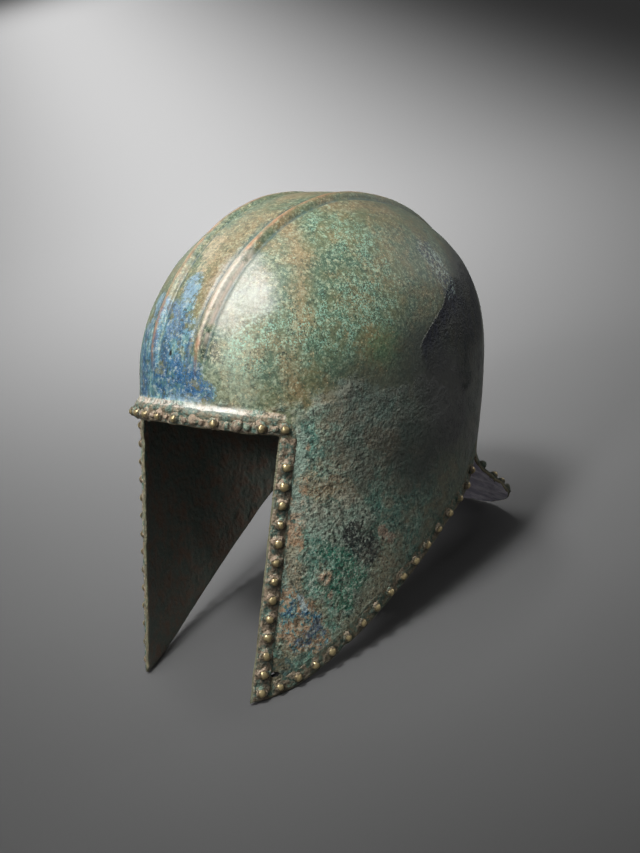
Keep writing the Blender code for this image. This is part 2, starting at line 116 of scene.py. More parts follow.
def asUpright(points):
    turn = np.array(toUpright.to_3x3())
    return points @ turn.T + np.array(toUpright.translation)


def treeOf(points):
    tree = KDTree(len(points))
    for n, p in enumerate(points):
        tree.insert(p, n)
    tree.balance()
    return tree


def distances(tree, points):
    return np.array([tree.find(p)[2] for p in points])


def paintLayer(piece, name, values):
    layer = piece.data.attributes.new(name, "FLOAT", "POINT")
    layer.data.foreach_set("value", np.asarray(values, np.float32))


def pick(piece):  # makes it the one piece that operators act on
    bpy.ops.object.select_all(action="DESELECT")
    piece.select_set(True)
    bpy.context.view_layer.objects.active = piece


quads = {"merge": 0.01 * mm, "faceTurn": math.radians(60), "shapeTurn": math.radians(100)}


def copyOfNode(node, name):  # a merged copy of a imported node, with its quads back
    source = frame["nodes"][node]
    piece = source.copy()
    piece.data = source.data.copy()
    piece.name = name
    piece.data.materials.clear()
    bpy.context.scene.collection.objects.link(piece)
    pick(piece)
    bpy.ops.object.mode_set(mode="EDIT")
    bpy.ops.mesh.select_all(action="SELECT")
    bpy.ops.mesh.remove_doubles(threshold=quads["merge"])
    bpy.ops.mesh.tris_convert_to_quads(face_threshold=quads["faceTurn"],
                                       shape_threshold=quads["shapeTurn"])
    bpy.ops.mesh.select_all(action="DESELECT")
    bpy.ops.object.mode_set(mode="OBJECT")
    return piece


def selectFaces(piece, chosen):
    piece.data.polygons.foreach_set("select", np.asarray(chosen, bool))
    bpy.ops.object.mode_set(mode="EDIT")
    bpy.ops.mesh.select_mode(type="FACE")


def faceSlots(piece):
    slots = np.empty(len(piece.data.polygons), np.int32)
    piece.data.polygons.foreach_get("material_index", slots)
    return slots


def pointsOfSlot(piece, slot):
    inSlot = np.zeros(len(piece.data.vertices), bool)
    for face in piece.data.polygons:
        if face.material_index == slot:
            inSlot[list(face.vertices)] = True
    return inSlot


# Materials: an expression on wires adds its nodes

class Wire:
    def __init__(self, paint, socket):
        self.paint = paint
        self.socket = socket

    def math(self, operation, *values):
        return self.paint.add("Math", {"operation": operation}, dict(enumerate(values)))

    def __add__(self, other):
        return self.math("ADD", self, other)

    def __radd__(self, other):
        return self.math("ADD", other, self)

    def __sub__(self, other):
        return self.math("SUBTRACT", self, other)

    def __rsub__(self, other):
        return self.math("SUBTRACT", other, self)

    def __mul__(self, other):
        return self.math("MULTIPLY", self, other)

    def __rmul__(self, other):
        return self.math("MULTIPLY", other, self)

    def clamp(self):
        return self.paint.add("Clamp", {}, {0: self})

    def step(self, low, high):  # 0 below low, 1 above high, smooth between
        return self.paint.add("MapRange", {"interpolation_type": "SMOOTHSTEP"},
                              {0: self, 1: low, 2: high})


class Paint:
    def __init__(self, name, tones):
        self.tones = tones
        self.material = bpy.data.materials.new(name)
        self.material.use_nodes = True
        self.tree = self.material.node_tree
        self.shader = self.tree.nodes["Principled BSDF"]
        place = self.add("TexCoord", {}, {}, "Object")
        self.place = self.add("Mapping", {"vector_type": "TEXTURE"},
                              {"Vector": place, "Location": toRest.translation,
                               "Rotation": (-leanBack, 0, 0)})

    def add(self, kind, settings, values, output=0):
        node = self.tree.nodes.new("ShaderNode" + kind)
        for name, value in settings.items():
            setattr(node, name, value)
        for name, value in values.items():
            self.feed(node, name, value)
        return Wire(self, node.outputs[output])

    def feed(self, node, name, value):
        if isinstance(value, Wire):
            self.tree.links.new(value.socket, node.inputs[name])
        elif isinstance(value, str):  # a tone by its name
            node.inputs[name].default_value = tone(*self.tones[value])
        else:
            node.inputs[name].default_value = value

    def speck(self, size, detail, rough, seed=0.0, stretch=None, warp=0.0):
        place = self.place
        if seed or stretch:
            place = self.add("Mapping", {}, {"Vector": place, "Scale": stretch or (1, 1, 1),
                                             "Location": (seed, seed, seed)})
        return self.add("TexNoise", {}, {"Vector": place, "Scale": 1 / size, "Detail": detail,
                                         "Roughness": rough, "Distortion": warp})

    def grains(self, size, share, seed):  # round grains: 1 at each one's middle, on that share of cells
        place = self.add("Mapping", {}, {"Vector": self.place, "Location": (seed, seed, seed)})
        away = self.add("TexVoronoi", {"feature": "F1"}, {"Vector": place, "Scale": 1 / size},
                        "Distance")
        chance = Wire(self, away.socket.node.outputs["Color"])
        shape = 1 - away.step(0.22, 0.55)  # a grain's flat middle and its rim, in cells
        return shape * chance.step(0.97 - share, 1.03 - share)

    def layer(self, name):
        return self.add("Attribute", {"attribute_name": name}, {}, "Fac")

    def coat(self, below, above, share):
        return self.add("Mix", {"data_type": "RGBA"}, {0: share, 6: below, 7: above}, 2)

    def bump(self, height, depth):
        return self.add("Bump", {}, {"Height": height, "Distance": depth, "Strength": 1.0})

    def finish(self, **sockets):
        for name, value in sockets.items():
            self.feed(self.shader, name.replace("_", " "), value)
        return self.material


# The bronze sheet

sheet = {
    "crease": 0.42, "cornerTurn": math.radians(32), "faceTurn": math.radians(55),
    "level": 0.9, "levels": 2, "cuts": 1, "roundness": 0.8,
    "dent": 0.45 * mm, "dentSize": 34 * mm,
    "crust": 0.30 * mm, "crustSize": 6.0 * mm,
    "grit": 0.22 * mm, "gritSize": 3.4 * mm, "crustThin": 0.6,
    "patchSize": 20 * mm, "patchLeast": 0.35,
    "ledgeLump": 0.5 * mm, "ledgeLumpSize": 4.5 * mm,
    "ledgeLip": 1.0 * mm, "ledgeGroove": 0.35 * mm, "ledgeFade": 0.75,
    "ribRidge": 0.55 * mm, "ribValley": 0.75 * mm, "ribLip": 0.30 * mm,
    "edgeWander": 0.9 * mm, "edgeWanderSize": 8 * mm, "edgeWay": (0.3, 0.4, 0.5),
    "flakeStep": 0.30 * mm, "pinholeDepth": 0.8 * mm,
    # lengths and places from here on are in millimetres with the helmet upright
    "brow": 143.4, "browArch": 3.8, "cornerX": 56.2, "cornerIn": 3, "cornerOut": 9,
    "spring": 172.0, "crown": 269.2,
    "ribLow": 16.8, "ribHigh": 21.3, "ribFrontEnd": 170, "ribBackEnd": 152, "ribFade": 20,
    "crustLine": 160, "crustSlope": 0.15, "crustFrom": -75, "crustWander": 12, "crustWanderSize": 18,
    "creepWander": 3.5, "creepWanderSize": 6,
    "holeAt": (50, -81, 15), "holeEdge": 3.5, "holeRadius": 1.3, "holeLean": (0.42, 1.1, -0.25),
    "drillDepth": 12, "drillOval": (1.25, 0.95, 1.0), "drillSides": 16,
    "craterAt": (64, -57, 66), "craterRim": 2.6, "craterWall": 0.9, "craterPit": 0.6,
    "craterWanderSize": 3, "craterRise": 0.7, "craterDepth": 0.5,
    "nickAt": (63, -42, 26), "nickReach": 4.5, "nickDepth": 1.7, "nickWay": (0.0, -0.65, 0.76),
}
ranges = {  # a share is 0 at the first number and 1 at the second; millimetres, but for the last row
    # along Y
    "back": (-45, 52), "brow": (-60, -78), "crustThins": (-30, 40), "guardBack": (45, 62),
    "creepFront": (-40, -55),
    # along Z, and along X
    "guardTop": (128, 116), "creepTop": (85, 125), "ledgeEnds": (38, 50),
    # over the crust's line, over the brow's lower edge, and from a rib's crest
    "crust": (12, -12), "ledgeLow": (-1, 0), "ledgeHigh": (14, 11), "ribFlank": (4.2, 2.4),
    # in from the sheet's edge
    "calm": (0, 2.5), "wander": (6, 0), "edge": (11, 7), "rimEdge": (1.2, 0.4), "creep": (6.5, 3.5),
    # of a noise, and of a stroke's share
    "patchy": (-0.1, 0.35), "flake": (0.4, 0.6),
}
bands = {  # the middle and width of each line, from a rib's crest or over the brow's lower edge
    "ribCrest": (0.2, 1.1), "ribHighlightLine": (3.6, 0.9), "ribValley": (4.9, 1.1), "ribFoot": (5.2, 1.1),
    "ribLip": (7.2, 1.2),
    "ledgePaintedShadow": (6.0, 1.0), "ledgeLip": (7.6, 1.9), "ledgeTop": (10.2, 2.6), "ledgeGroove": (12.4, 2.2),
}
patches = {  # a stain that stands up: its height is base + gain * lumps
    "veins": {"height": 0.45 * mm, "size": 4 * mm, "seed": 11.0, "base": 0.3, "gain": 1.0},
    "pocks": {"height": 0.5 * mm, "size": 5 * mm, "seed": 19.0, "base": 0.5, "gain": -1.6},
    "ash": {"height": 0.6 * mm, "size": 4 * mm, "seed": 13.0, "base": 0.0, "gain": 1.0},
    "umber": {"height": 0.5 * mm, "size": 5 * mm, "seed": 17.0, "base": 0.0, "gain": 1.0},
}

# Each mark runs from one place to another, in millimetres with the helmet upright. Its radius comes last.
strokes = {
    "azure": {"soft": 6, "marks": [
        ((-14, -101, 202), (-13, -106, 188), 9), ((-16, -107, 185), (-20, -107, 160), 11),
        ((1, -107, 185), (-1, -109, 162), 11), ((13, -108, 177), (16, -108, 166), 5),
        ((22, -106, 168), (25, -105, 165), 2), ((-33, -99, 191), (-32, -102, 159), 6),
        ((-30, -91, 210), (-24, -103, 187), 2.5), ((4, -104, 198), (8, -107, 186), 5),
        ((-3, -90, 221), (0, -100, 205), 3.5)]},
    "deep": {"soft": 7, "marks": [
        ((3, -109, 177), (11, -109, 167), 4), ((-5, -109, 174), (-9, -109, 169), 4),
        ((14, -108, 172), (19, -107, 163), 4), ((-30, -100, 180), (-27, -104, 162), 2)]},
    "sky": {"soft": 6, "marks": [
        ((-3, -88, 223), (-1, -96, 212), 3), ((10, -97, 210), (13, -103, 197), 3),
        ((-30, -88, 214), (-33, -96, 196), 2), ((0, -108, 160), (18, -107, 159), 2)]},
    "lavender": {"soft": 5, "marks": [((-7, -94, 216), (-5, -104, 196), 4)]},
    "ochre": {"soft": 11, "marks": [
        ((3, -69, 243), (12, -95, 212), 5), ((8, -51, 254), (4, -66, 245), 5),
        ((24, -49, 253), (47, -59, 233), 2), ((47, -59, 233), (56, -69, 212), 0),
        ((58, -69, 208), (59, -78, 183), 0), ((30, -21, 261), (35, 17, 260), 3),
        ((54, -83, 191), (62, -75, 166), 1), ((0, -20, 266), (0, 40, 262), 6)]},
    "fold": {"soft": 3.5, "marks": [
        ((38, -55, 242), (50, -60, 229), 0.4), ((50, -60, 229), (56, -68, 212), 0.6),
        ((56, -68, 212), (57, -74, 198), 0.4)]},
    # the lower front stretch of each rib, where painted highlight lines take the copper's place
    "ribGlint": {"soft": 8, "marks": [
        ((20, -80, 229), (19, -101, 201), 7), ((-18, -82, 228), (-17, -104, 195), 6)]},
    # painted shade on the side of the cheek guard and dome that turns from the lamps
    "paintedShade": {"soft": 20, "marks": [
        ((75, -38, 158), (79, -5, 132), 18), ((74, -48, 162), (79, -10, 168), 8),
        ((72, -50, 138), (75, -38, 124), 4), ((80, -2, 178), (80, 20, 150), 16)]},
    # painted shade further back on the side, and a darker grey near the top of the back
    "paintedSideShade": {"soft": 18, "marks": [
        ((79, 20, 168), (79, 28, 150), 14), ((70, 60, 168), (72, 55, 140), 14),
        ((60, 56, 229), (66, 50, 222), 2)]},
    "murk": {"soft": 16, "marks": [((54, 62, 234), (66, 50, 222), 7)]},
    # painted light: a paler patch on the forehead, below the painted highlight
    "light": {"soft": 14, "marks": [
        ((38, -97, 190), (42, -97, 170), 6), ((27, -104, 180), (26, -105, 172), 1)]},
    "satin": {"soft": 16, "marks": [((58, -74, 190), (74, -40, 196), 10)]},
    # a painted highlight: a pale patch on the front of the dome
    "paintedHighlight": {"soft": 14, "marks": [
        ((21, -79, 230), (38, -84, 214), 7), ((20, -88, 220), (28, -95, 205), 6)]},
    "mint": {"soft": 16, "marks": [
        ((42, -33, 251), (59, -23, 238), 10), ((57, -77, 198), (44, -93, 188), 8),
        ((65, -63, 198), (71, -33, 213), 12)]},
    "ribCrust": {"soft": 4, "marks": [((17, -104, 197), (26, -103, 186), 4.5)]},
    "navy": {"soft": 5, "marks": [
        ((69, 43, 213), (77, 29, 199), 9.5), ((78, 24, 192), (79, 12, 182), 12),
        ((62, 60, 220), (71, 54, 180), 12), ((74, 44, 195), (76, 40, 172), 12)]},
    "flake": {"soft": 7, "marks": [((71, 31, 214), (79, 5, 194), 6)]},
    "navySpeck": {"soft": 7, "marks": [((60, 25, 237), (70, 31, 218), 5)]},
    "umber": {"soft": 7, "marks": [
        ((69, -56, 116), (71, -49, 111), 5), ((63, -70, 119), (67, -63, 113), 4),
        ((58, -76, 85), (57, -72, 55), 2.5), ((54, -74, 31), (60, -63, 46), 6),
        ((76, -34, 140), (78, -22, 136), 4),
        ((57, -69, 40), (54, -74, 31), 6)]},
    "ash": {"soft": 7, "marks": [
        ((62, -71, 103), (69, -48, 89), 6), ((70, -49, 105), (72, -39, 96), 6)]},
    "verdure": {"soft": 18, "marks": [((68, -50, 84), (61, -60, 40), 14)]},
    "shore": {"soft": 6, "marks": [
        ((62, -77, 142), (59, -77, 96), 5), ((59, -77, 96), (56, -77, 36), 4)]},
    "emerald": {"soft": 6, "marks": [
        ((65, -59, 82), (65, -59, 80), 2), ((67, -50, 78), (68, -41, 67), 4),
        ((64, -54, 62), (66, -43, 51), 4), ((69, -34, 62), (66, -50, 66), 4)]},
    "cream": {"soft": 12, "marks": [((-10, -70, 242), (-2, -84, 229), 2)]},
    "olive": {"soft": 9, "marks": [
        ((72, -19, 71), (66, -33, 39), 4), ((66, -33, 39), (61, -50, 26), 4)]},
    "moss": {"soft": 12, "marks": [((78, -31, 187), (78, -24, 189), 5)]},
    "plum": {"soft": 7, "marks": [((70, -42, 88), (71, -30, 77), 5)]},
    "flesh": {"soft": 2.5, "marks": [
        ((73, -24, 89), (73, -16, 83), 2),
        ((64, -53, 56), (64, -53, 56), 1), ((56, -75, 56), (57, -74, 48), 1.5)]},
    "whiteBlue": {"soft": 3, "marks": [((58, -71, 57), (59, -67, 50), 0.8)]},
    "cobalt": {"soft": 4, "marks": [
        ((60, -63, 42), (60, -57, 31), 3), ((51, -80, 23), (53, -76, 18), 2.5),
        ((57, -69, 33), (58, -64, 30), 2), ((59, -67, 46), (60, -63, 42), 3)]},
    "veins": {"soft": 2.6, "marks": [
        ((60, -78, 156), (62, -76, 146), 1.2), ((62, -76, 153), (66, -70, 156), 1.2),
        ((66, -70, 156), (69, -63, 160), 1.4), ((69, -63, 160), (74, -50, 168), 1.2),
        ((66, -69, 161), (71, -58, 166), 1.0)]},
    "pocks": {"soft": 6, "marks": [
        ((57, -76, 56), (57, -70, 33), 5), ((60, -69, 50), (60, -63, 42), 5),
        ((57, -69, 33), (60, -57, 31), 5)]},
    # where the ledge's roll carries its painted highlight, and is glossier
    "glint": {"soft": 8, "marks": [((16, -110, 156), (40, -99, 155), 3)]},
    # a small pit, painted near-black as shade
    "pinhole": {"soft": 0.9, "marks": [((-3, -108, 184.6), (-3, -108, 184), 0.9)]},
}
seenOnly = (  # these have no twin on the hidden side
    "azure", "deep", "sky", "lavender", "ochre", "paintedHighlight", "pinhole", "fold", "light", "navy",
    "navySpeck", "flake", "paintedSideShade", "murk", "paintedShade", "satin", "cream", "plum", "flesh", "whiteBlue",
)
otherSide = np.array((0.0, 11.0, -8.0))  # how far the hidden side's stains lie from their twins


def strokeShare(places, stroke):  # 1 on the stroke, 0 past its soft edge
    share = np.zeros(len(places))
    for start, end, radius in stroke["marks"]:
        start, end = np.array(start, float), np.array(end, float)
        run = end - start
        along = np.clip(((places - start) @ run) / max(run @ run, 1e-9), 0, 1)
        away = np.linalg.norm(places - start - along[:, None] * run, axis=1)
        reach = smoothStep(radius + stroke["soft"], radius - stroke["soft"] * 0.3, away)
        share = np.maximum(share, reach)
    return share


def strokeLayers(places):
    twins = np.where(places[:, :1] < 0, places * (-1, 1, 1) + otherSide, places)
    layers = {}
    for name, stroke in strokes.items():
        layers[name] = strokeShare(places if name in seenOnly else twins, stroke)
    return layers


def keepInBox(points):
    low, high = (np.array(corner) for corner in cadBox)
    return np.clip(points, low, high)


def claimStrays(piece, role):  # a face that doesn't join outside to inside isn't the edge
    sides = {}
    for face in piece.data.polygons:
        for key in face.edge_keys:
            sides.setdefault(key, []).append(face.index)
    for face in piece.data.polygons:
        near = {role[n] for key in face.edge_keys for n in sides[key]} - {2}
        if role[face.index] == 2 and len(near) == 1:
            role[face.index] = near.pop()


def keepCorners(piece):  # the outline's corners stay, and the curves between them are smoothed
    creased = piece.data.attributes["crease_edge"].data
    arms = {}
    for edge in piece.data.edges:
        if creased[edge.index].value > 0:
            first, last = edge.vertices
            for a, b in ((first, last), (last, first)):
                way = piece.data.vertices[b].co - piece.data.vertices[a].co
                arms.setdefault(a, []).append(way.normalized())
    sharp = np.zeros(len(piece.data.vertices))
    for n, ways in arms.items():
        if len(ways) == 2 and ways[0].angle(-ways[1]) > sheet["cornerTurn"]:
            sharp[n] = 1.0
    for edge in piece.data.edges:  # across the sheet's edge from corner to corner
        if all(sharp[n] for n in edge.vertices):
            creased[edge.index].value = 1.0
    paintLayer(piece, "crease_vert", sharp)


def growSheet():
    piece = copyOfNode("helmet_shell", "patinated_sheet")
    faces = piece.data.polygons
    role = np.full(len(faces), 2)  # 0 outside, 1 inside, 2 the sheet's own edge
    for slot, up in ((0, 1), (1, -1)):
        top = max((f for f in faces if f.normal.z * up > sheet["level"]), key=lambda f: f.center.z)
        selectFaces(piece, [f.index == top.index for f in faces])
        bpy.ops.mesh.faces_select_linked_flat(sharpness=sheet["faceTurn"])
        bpy.ops.object.mode_set(mode="OBJECT")
        role[[f.index for f in faces if f.select]] = slot
    claimStrays(piece, role)
    selectFaces(piece, role < 2)
    bpy.ops.mesh.region_to_loop()
    bpy.ops.transform.edge_crease(value=sheet["crease"])
    bpy.ops.mesh.select_all(action="DESELECT")
    bpy.ops.object.mode_set(mode="OBJECT")
    keepCorners(piece)
    for _ in range(3):
        piece.data.materials.append(None)
    faces.foreach_set("material_index", role.astype(np.int32))
    smooth = piece.modifiers.new("smooth", "SUBSURF")
    smooth.levels = smooth.render_levels = sheet["levels"]
    bpy.ops.object.modifier_apply(modifier="smooth")
    selectFaces(piece, faceSlots(piece) == 0)
    bpy.ops.mesh.subdivide(number_cuts=sheet["cuts"], smoothness=sheet["roundness"])
    bpy.ops.mesh.select_all(action="DESELECT")
    bpy.ops.object.mode_set(mode="OBJECT")
    return piece


def pierce(piece):  # the small hole near the tip of the cheek guard
    place = toRest @ (Vector(sheet["holeAt"]) * mm)
    found, normal = piece.closest_point_on_mesh(place)[1:3]
    lean = toRest.to_3x3() @ Vector(sheet["holeLean"])
    bpy.ops.object.select_all(action="DESELECT")
    bpy.ops.mesh.primitive_cylinder_add(vertices=sheet["drillSides"],
                                        radius=sheet["holeRadius"] * mm,
                                        depth=sheet["drillDepth"] * mm)
    drill = bpy.context.object
    bpy.ops.transform.resize(value=sheet["drillOval"])
    for _ in range(3):
        drill.data.materials.append(None)
    drill.data.polygons.foreach_set("material_index", [2] * len(drill.data.polygons))
    drill.rotation_mode = "QUATERNION"
    drill.rotation_quaternion = (normal + lean).to_track_quat("Z", "Y")
    drill.location = found
    pick(piece)
    hole = piece.modifiers.new("hole", "BOOLEAN")
    hole.operation = "DIFFERENCE"
    hole.solver = "EXACT"
    hole.object = drill
    bpy.ops.object.modifier_apply(modifier="hole")
    bpy.data.objects.remove(drill)


def ranged(name, values):
    return smoothStep(*ranges[name], values)


def bell(values, middle, width):
    return np.exp(-((values - middle) / width) ** 2)


def banded(name, values):
    return bell(values, *bands[name])


def wornEdge(where, edge):  # how the ragged edges are drawn in or out; edge is the distance to it in mm
    draw = sheet["edgeWander"] * wander(where, sheet["edgeWanderSize"], seed=15.0)
    draw = (draw * ranged("wander", edge))[:, None] * np.array(sheet["edgeWay"])
    bite = np.linalg.norm(where / mm - np.array(sheet["nickAt"]), axis=1)
    bite = sheet["nickDepth"] * mm * smoothStep(sheet["nickReach"], 0, bite)
    return (draw + bite[:, None] * np.array(sheet["nickWay"])) @ np.array(toUpright.to_3x3())


def ribShape(places):  # how far each place is from the nearer rib's crest, and the rib's strength
    rise = np.clip((places[:, 2] - sheet["spring"]) / (sheet["crown"] - sheet["spring"]), 0, 1)
    crest = sheet["ribLow"] + (sheet["ribHigh"] - sheet["ribLow"]) * rise
    ends = np.where(places[:, 1] < 0, sheet["ribFrontEnd"], sheet["ribBackEnd"])
    strength = smoothStep(0, sheet["ribFade"], places[:, 2] - ends)
    return np.abs(places[:, 0]) - crest, strength


def browShape(places):  # height over the brow's lower edge, and how much the place is brow
    arch = sheet["browArch"] * (1 - (places[:, 0] / sheet["cornerX"]) ** 2)
    outer, inner = sheet["cornerX"] + sheet["cornerOut"], sheet["cornerX"] - sheet["cornerIn"]
    share = ranged("brow", places[:, 1]) * smoothStep(outer, inner, np.abs(places[:, 0]))
    return places[:, 2] - sheet["brow"] - arch, share


def ledgeMiddle(places):  # the ledge's lip and its painted highlight are strongest in its middle and fade to its ends
    return 1 - sheet["ledgeFade"] * ranged("ledgeEnds", np.abs(places[:, 0]))


def crustLayers(where, places):
    overBrow, brow = browShape(places)
    ledge = brow * ranged("ledgeLow", overBrow) * ranged("ledgeHigh", overBrow)
    line = sheet["crustLine"] + sheet["crustSlope"] * (places[:, 1] - sheet["crustFrom"])
    ragged = sheet["crustWander"] * wander(where, sheet["crustWanderSize"] * mm, seed=3.0)
    crust = ranged("crust", places[:, 2] - line + ragged)
    crust = crust * (1 - sheet["crustThin"] * ranged("crustThins", places[:, 1])) * (1 - ledge)
    patchy = ranged("patchy", wander(where, sheet["patchSize"], seed=21.0, octaves=2))
    patchy = sheet["patchLeast"] + (1 - sheet["patchLeast"]) * patchy
    # back rises towards the helmet's back, where it darkens the colour as painted shade, partly the darker
    # patina there; it also fades the ribs' copper
    return {"crust": crust, "ledge": ledge, "patchy": patchy, "back": ranged("back", places[:, 1])}


def craterLayers(where, places):
    away = np.linalg.norm(places - np.array(sheet["craterAt"]), axis=1)
    ragged = away + wander(where, sheet["craterWanderSize"] * mm, seed=23.0)
    return {"craterRing": bell(ragged, sheet["craterRim"], sheet["craterWall"]),
            "craterPit": bell(away, 0.0, sheet["craterPit"] * sheet["craterRim"])}


def ribRelief(places):
    fromRib, rib = ribShape(places)
    aside = np.abs(fromRib)
    lift = sheet["ribRidge"] * ranged("ribFlank", aside) - sheet["ribValley"] * banded("ribValley", aside)
    return rib * (lift + sheet["ribLip"] * banded("ribLip", aside))


def browRelief(places):
    overBrow, brow = browShape(places)
    lift = sheet["ledgeLip"] * ledgeMiddle(places) * banded("ledgeLip", overBrow)
    return brow * (lift - sheet["ledgeGroove"] * banded("ledgeGroove", overBrow))


def crustRelief(where, layers):
    rough = sheet["crust"] * wander(where, sheet["crustSize"], seed=5.0)
    rough += sheet["grit"] * wander(where, sheet["gritSize"], seed=7.0)
    lift = sheet["dent"] * wander(where, sheet["dentSize"], seed=1.0, octaves=2)
    lift += layers["crust"] * layers["patchy"] * rough
    lift += sheet["ledgeLump"] * layers["ledge"] * wander(where, sheet["ledgeLumpSize"], seed=9.0)
    lift -= sheet["flakeStep"] * ranged("flake", layers["navy"]) * layers["flake"]
    for name, patch in patches.items():
        lumps = np.abs(wander(where, patch["size"], seed=patch["seed"]))
        lift += patch["height"] * layers[name] * (patch["base"] + patch["gain"] * lumps)
    lift -= sheet["pinholeDepth"] * layers["pinhole"]
    lift += sheet["craterRise"] * mm * layers["craterRing"]
    return lift - sheet["craterDepth"] * mm * layers["craterPit"]


def lineLayers(places):  # the lines of colour along the ribs and the brow's ledge, painted highlights and a painted shadow among them
    fromRib, rib = ribShape(places)
    overBrow, brow = browShape(places)
    aside = np.abs(fromRib)
    return {"ribCrest": rib * banded("ribCrest", fromRib), "ribHighlightLine": rib * banded("ribHighlightLine", aside),
            "ribFoot": rib * banded("ribFoot", aside), "ledgePaintedShadow": brow * banded("ledgePaintedShadow", overBrow),
            "ledgeTop": brow * ledgeMiddle(places) * banded("ledgeTop", overBrow)}


def edgeLayers(where, places, edge):
    ragged = edge + sheet["creepWander"] * wander(where, sheet["creepWanderSize"] * mm, seed=27.0)
    creep = ranged("creep", ragged) * ranged("creepFront", places[:, 1])
    return {"edge": ranged("edge", edge), "rimEdge": ranged("rimEdge", edge),
            "creep": creep * ranged("creepTop", places[:, 2]),
            # where the neck guard's inside takes painted light
            "guard": ranged("guardBack", places[:, 1]) * ranged("guardTop", places[:, 2])}


def weatherSheet(piece):
    points, normals = readPoints(piece), readNormals(piece)
    outside, rim = pointsOfSlot(piece, 0), pointsOfSlot(piece, 2)
    where = asUpright(points)
    places = where / mm
    edge = distances(treeOf(points[rim]), points) / mm
    layers = strokeLayers(places)
    layers.update(crustLayers(where, places))
    layers.update(craterLayers(where, places))
    lift = crustRelief(where, layers) + ribRelief(places) + browRelief(places)
    lift *= np.where(outside & ~rim, ranged("calm", edge), 0.0)
    points += normals * lift[:, None] + wornEdge(where, edge)
    writePoints(piece, keepInBox(points))

    # the hole's walls join the pinhole's near-black, painted shade inside them
    fromHole = np.linalg.norm(places - np.array(sheet["holeAt"]), axis=1)
    layers["pinhole"] = np.maximum(layers["pinhole"], rim & (fromHole < sheet["holeEdge"]))
    layers.update(lineLayers(places))
    layers.update(edgeLayers(where, places, edge))
    for name, share in layers.items():
        paintLayer(piece, name, share)


patinaTones = {
    # the open bronze, among them the pale colours of painted light and a painted highlight, and the darker
    # ones of painted shade
    "bronzeOlive": (100, 108, 78), "bronzeGreen": (80, 106, 84), "buff": (128, 114, 78),
    "pine": (66, 94, 78), "ochre": (146, 118, 80), "light": (150, 160, 136),
    "hollow": (50, 60, 48), "worn": (160, 168, 140), "paleGrain": (172, 194, 164),
    "sandGrain": (206, 184, 142), "darkGrain": (32, 42, 36), "mint": (146, 194, 170),
    "chip": (196, 200, 164), "chipGap": (48, 56, 44), "moss": (66, 112, 74),
    "paintedHighlight": (206, 202, 196), "fold": (160, 146, 112), "cream": (214, 184, 150),
    "paintedShade": (68, 74, 68), "paintedSideShade": (74, 73, 73), "murk": (52, 54, 54),
    # the crust on the cheek guards
    "crustGrey": (126, 134, 114), "crustGreen": (86, 132, 118), "verdure": (98, 164, 144),
    "earth": (150, 130, 102), "soot": (60, 62, 52), "seaGreen": (112, 162, 144),
    "shoreGreen": (150, 172, 156), "shorePink": (206, 164, 130),
    "umber": (164, 130, 92), "ash": (180, 178, 160), "emerald": (12, 116, 88),
    "olive": (152, 144, 116), "plum": (28, 26, 33), "flesh": (180, 146, 124),
    "mosaicTan": (176, 142, 110), "mosaicTeal": (90, 148, 148), "mosaicBlue": (24, 90, 132),
    "cobalt": (24, 92, 130), "whiteBlue": (176, 198, 206),
    "sparkle": (190, 206, 188), "sparkleGap": (14, 44, 38),
    "craterRing": (232, 184, 150), "craterPit": (50, 48, 38),
    "gritTop": (158, 186, 166), "gritGap": (24, 32, 28), "crustChip": (198, 208, 188),
    "crustChipGap": (34, 42, 36), "scabEdge": (172, 172, 152), "veins": (170, 170, 152),
    # the blue on the brow, and the crust at the end of a rib
    "azure": (54, 92, 122), "azurePale": (86, 136, 156), "azureDark": (36, 66, 92),
    "azureGreen": (132, 158, 136), "deep": (20, 82, 128), "azurePit": (24, 48, 70),
    "azureGap": (26, 44, 52), "lavender": (100, 122, 150), "sky": (132, 158, 174),
    "azureMoss": (88, 124, 116), "azureBrown": (118, 118, 96), "azureChip": (184, 192, 180),
    "azureGrain": (172, 178, 160), "ribCrust": (186, 182, 152), "ribCrustGap": (36, 54, 42),
    # the dark patch with the lifted edge
    "night": (22, 26, 38), "nightGrey": (36, 38, 38), "flakeLip": (176, 180, 170),
    "navyChip": (150, 166, 160), "navyGap": (38, 52, 72),
    # the ledge, the ribs and the sheet's edge, among them painted highlights, a painted shadow and the
    # pinhole's painted shade
    "ledgePink": (186, 164, 142), "ledgeGreen": (126, 156, 142), "ledgeChip": (214, 204, 188),
    "ledgeGap": (62, 66, 52), "ledgePaintedHighlight": (212, 210, 202), "ledgePaintedShadow": (34, 52, 48),
    "copper": (194, 142, 106), "ribHighlightLine": (230, 212, 194), "ribFoot": (50, 76, 78),
    "edgeBrown": (110, 100, 76), "edgeGreen": (74, 98, 86), "edgeGrain": (168, 148, 122),
    "edgeGap": (32, 34, 28), "rimEdge": (144, 124, 88), "pinhole": (14, 14, 12),
}
stainEdges = {  # where a stain's edge starts and ends in its layer, and how ragged it is
    "ochre": (0.1, 1.1, 1.0), "light": (0.1, 1.2, 1.0), "moss": (0.1, 1.1, 1.0),
    "paintedHighlight": (0.1, 1.3, 0.6), "fold": (0.3, 1.2, 1.4), "cream": (0.1, 1.3, 1.6),
    "pocks": (0.25, 0.9, 1.0), "azure": (0.20, 0.80, 1.5), "deep": (0.1, 1.0, 1.0),
    "sky": (0.1, 1.0, 1.0), "lavender": (0.1, 1.2, 1.5), "ribCrust": (0.3, 0.7, 1.0),
    "navySpeck": (0.2, 0.9, 1.0),
}
plainEdge = (0.36, 0.74, 1.0)  # every other stain's


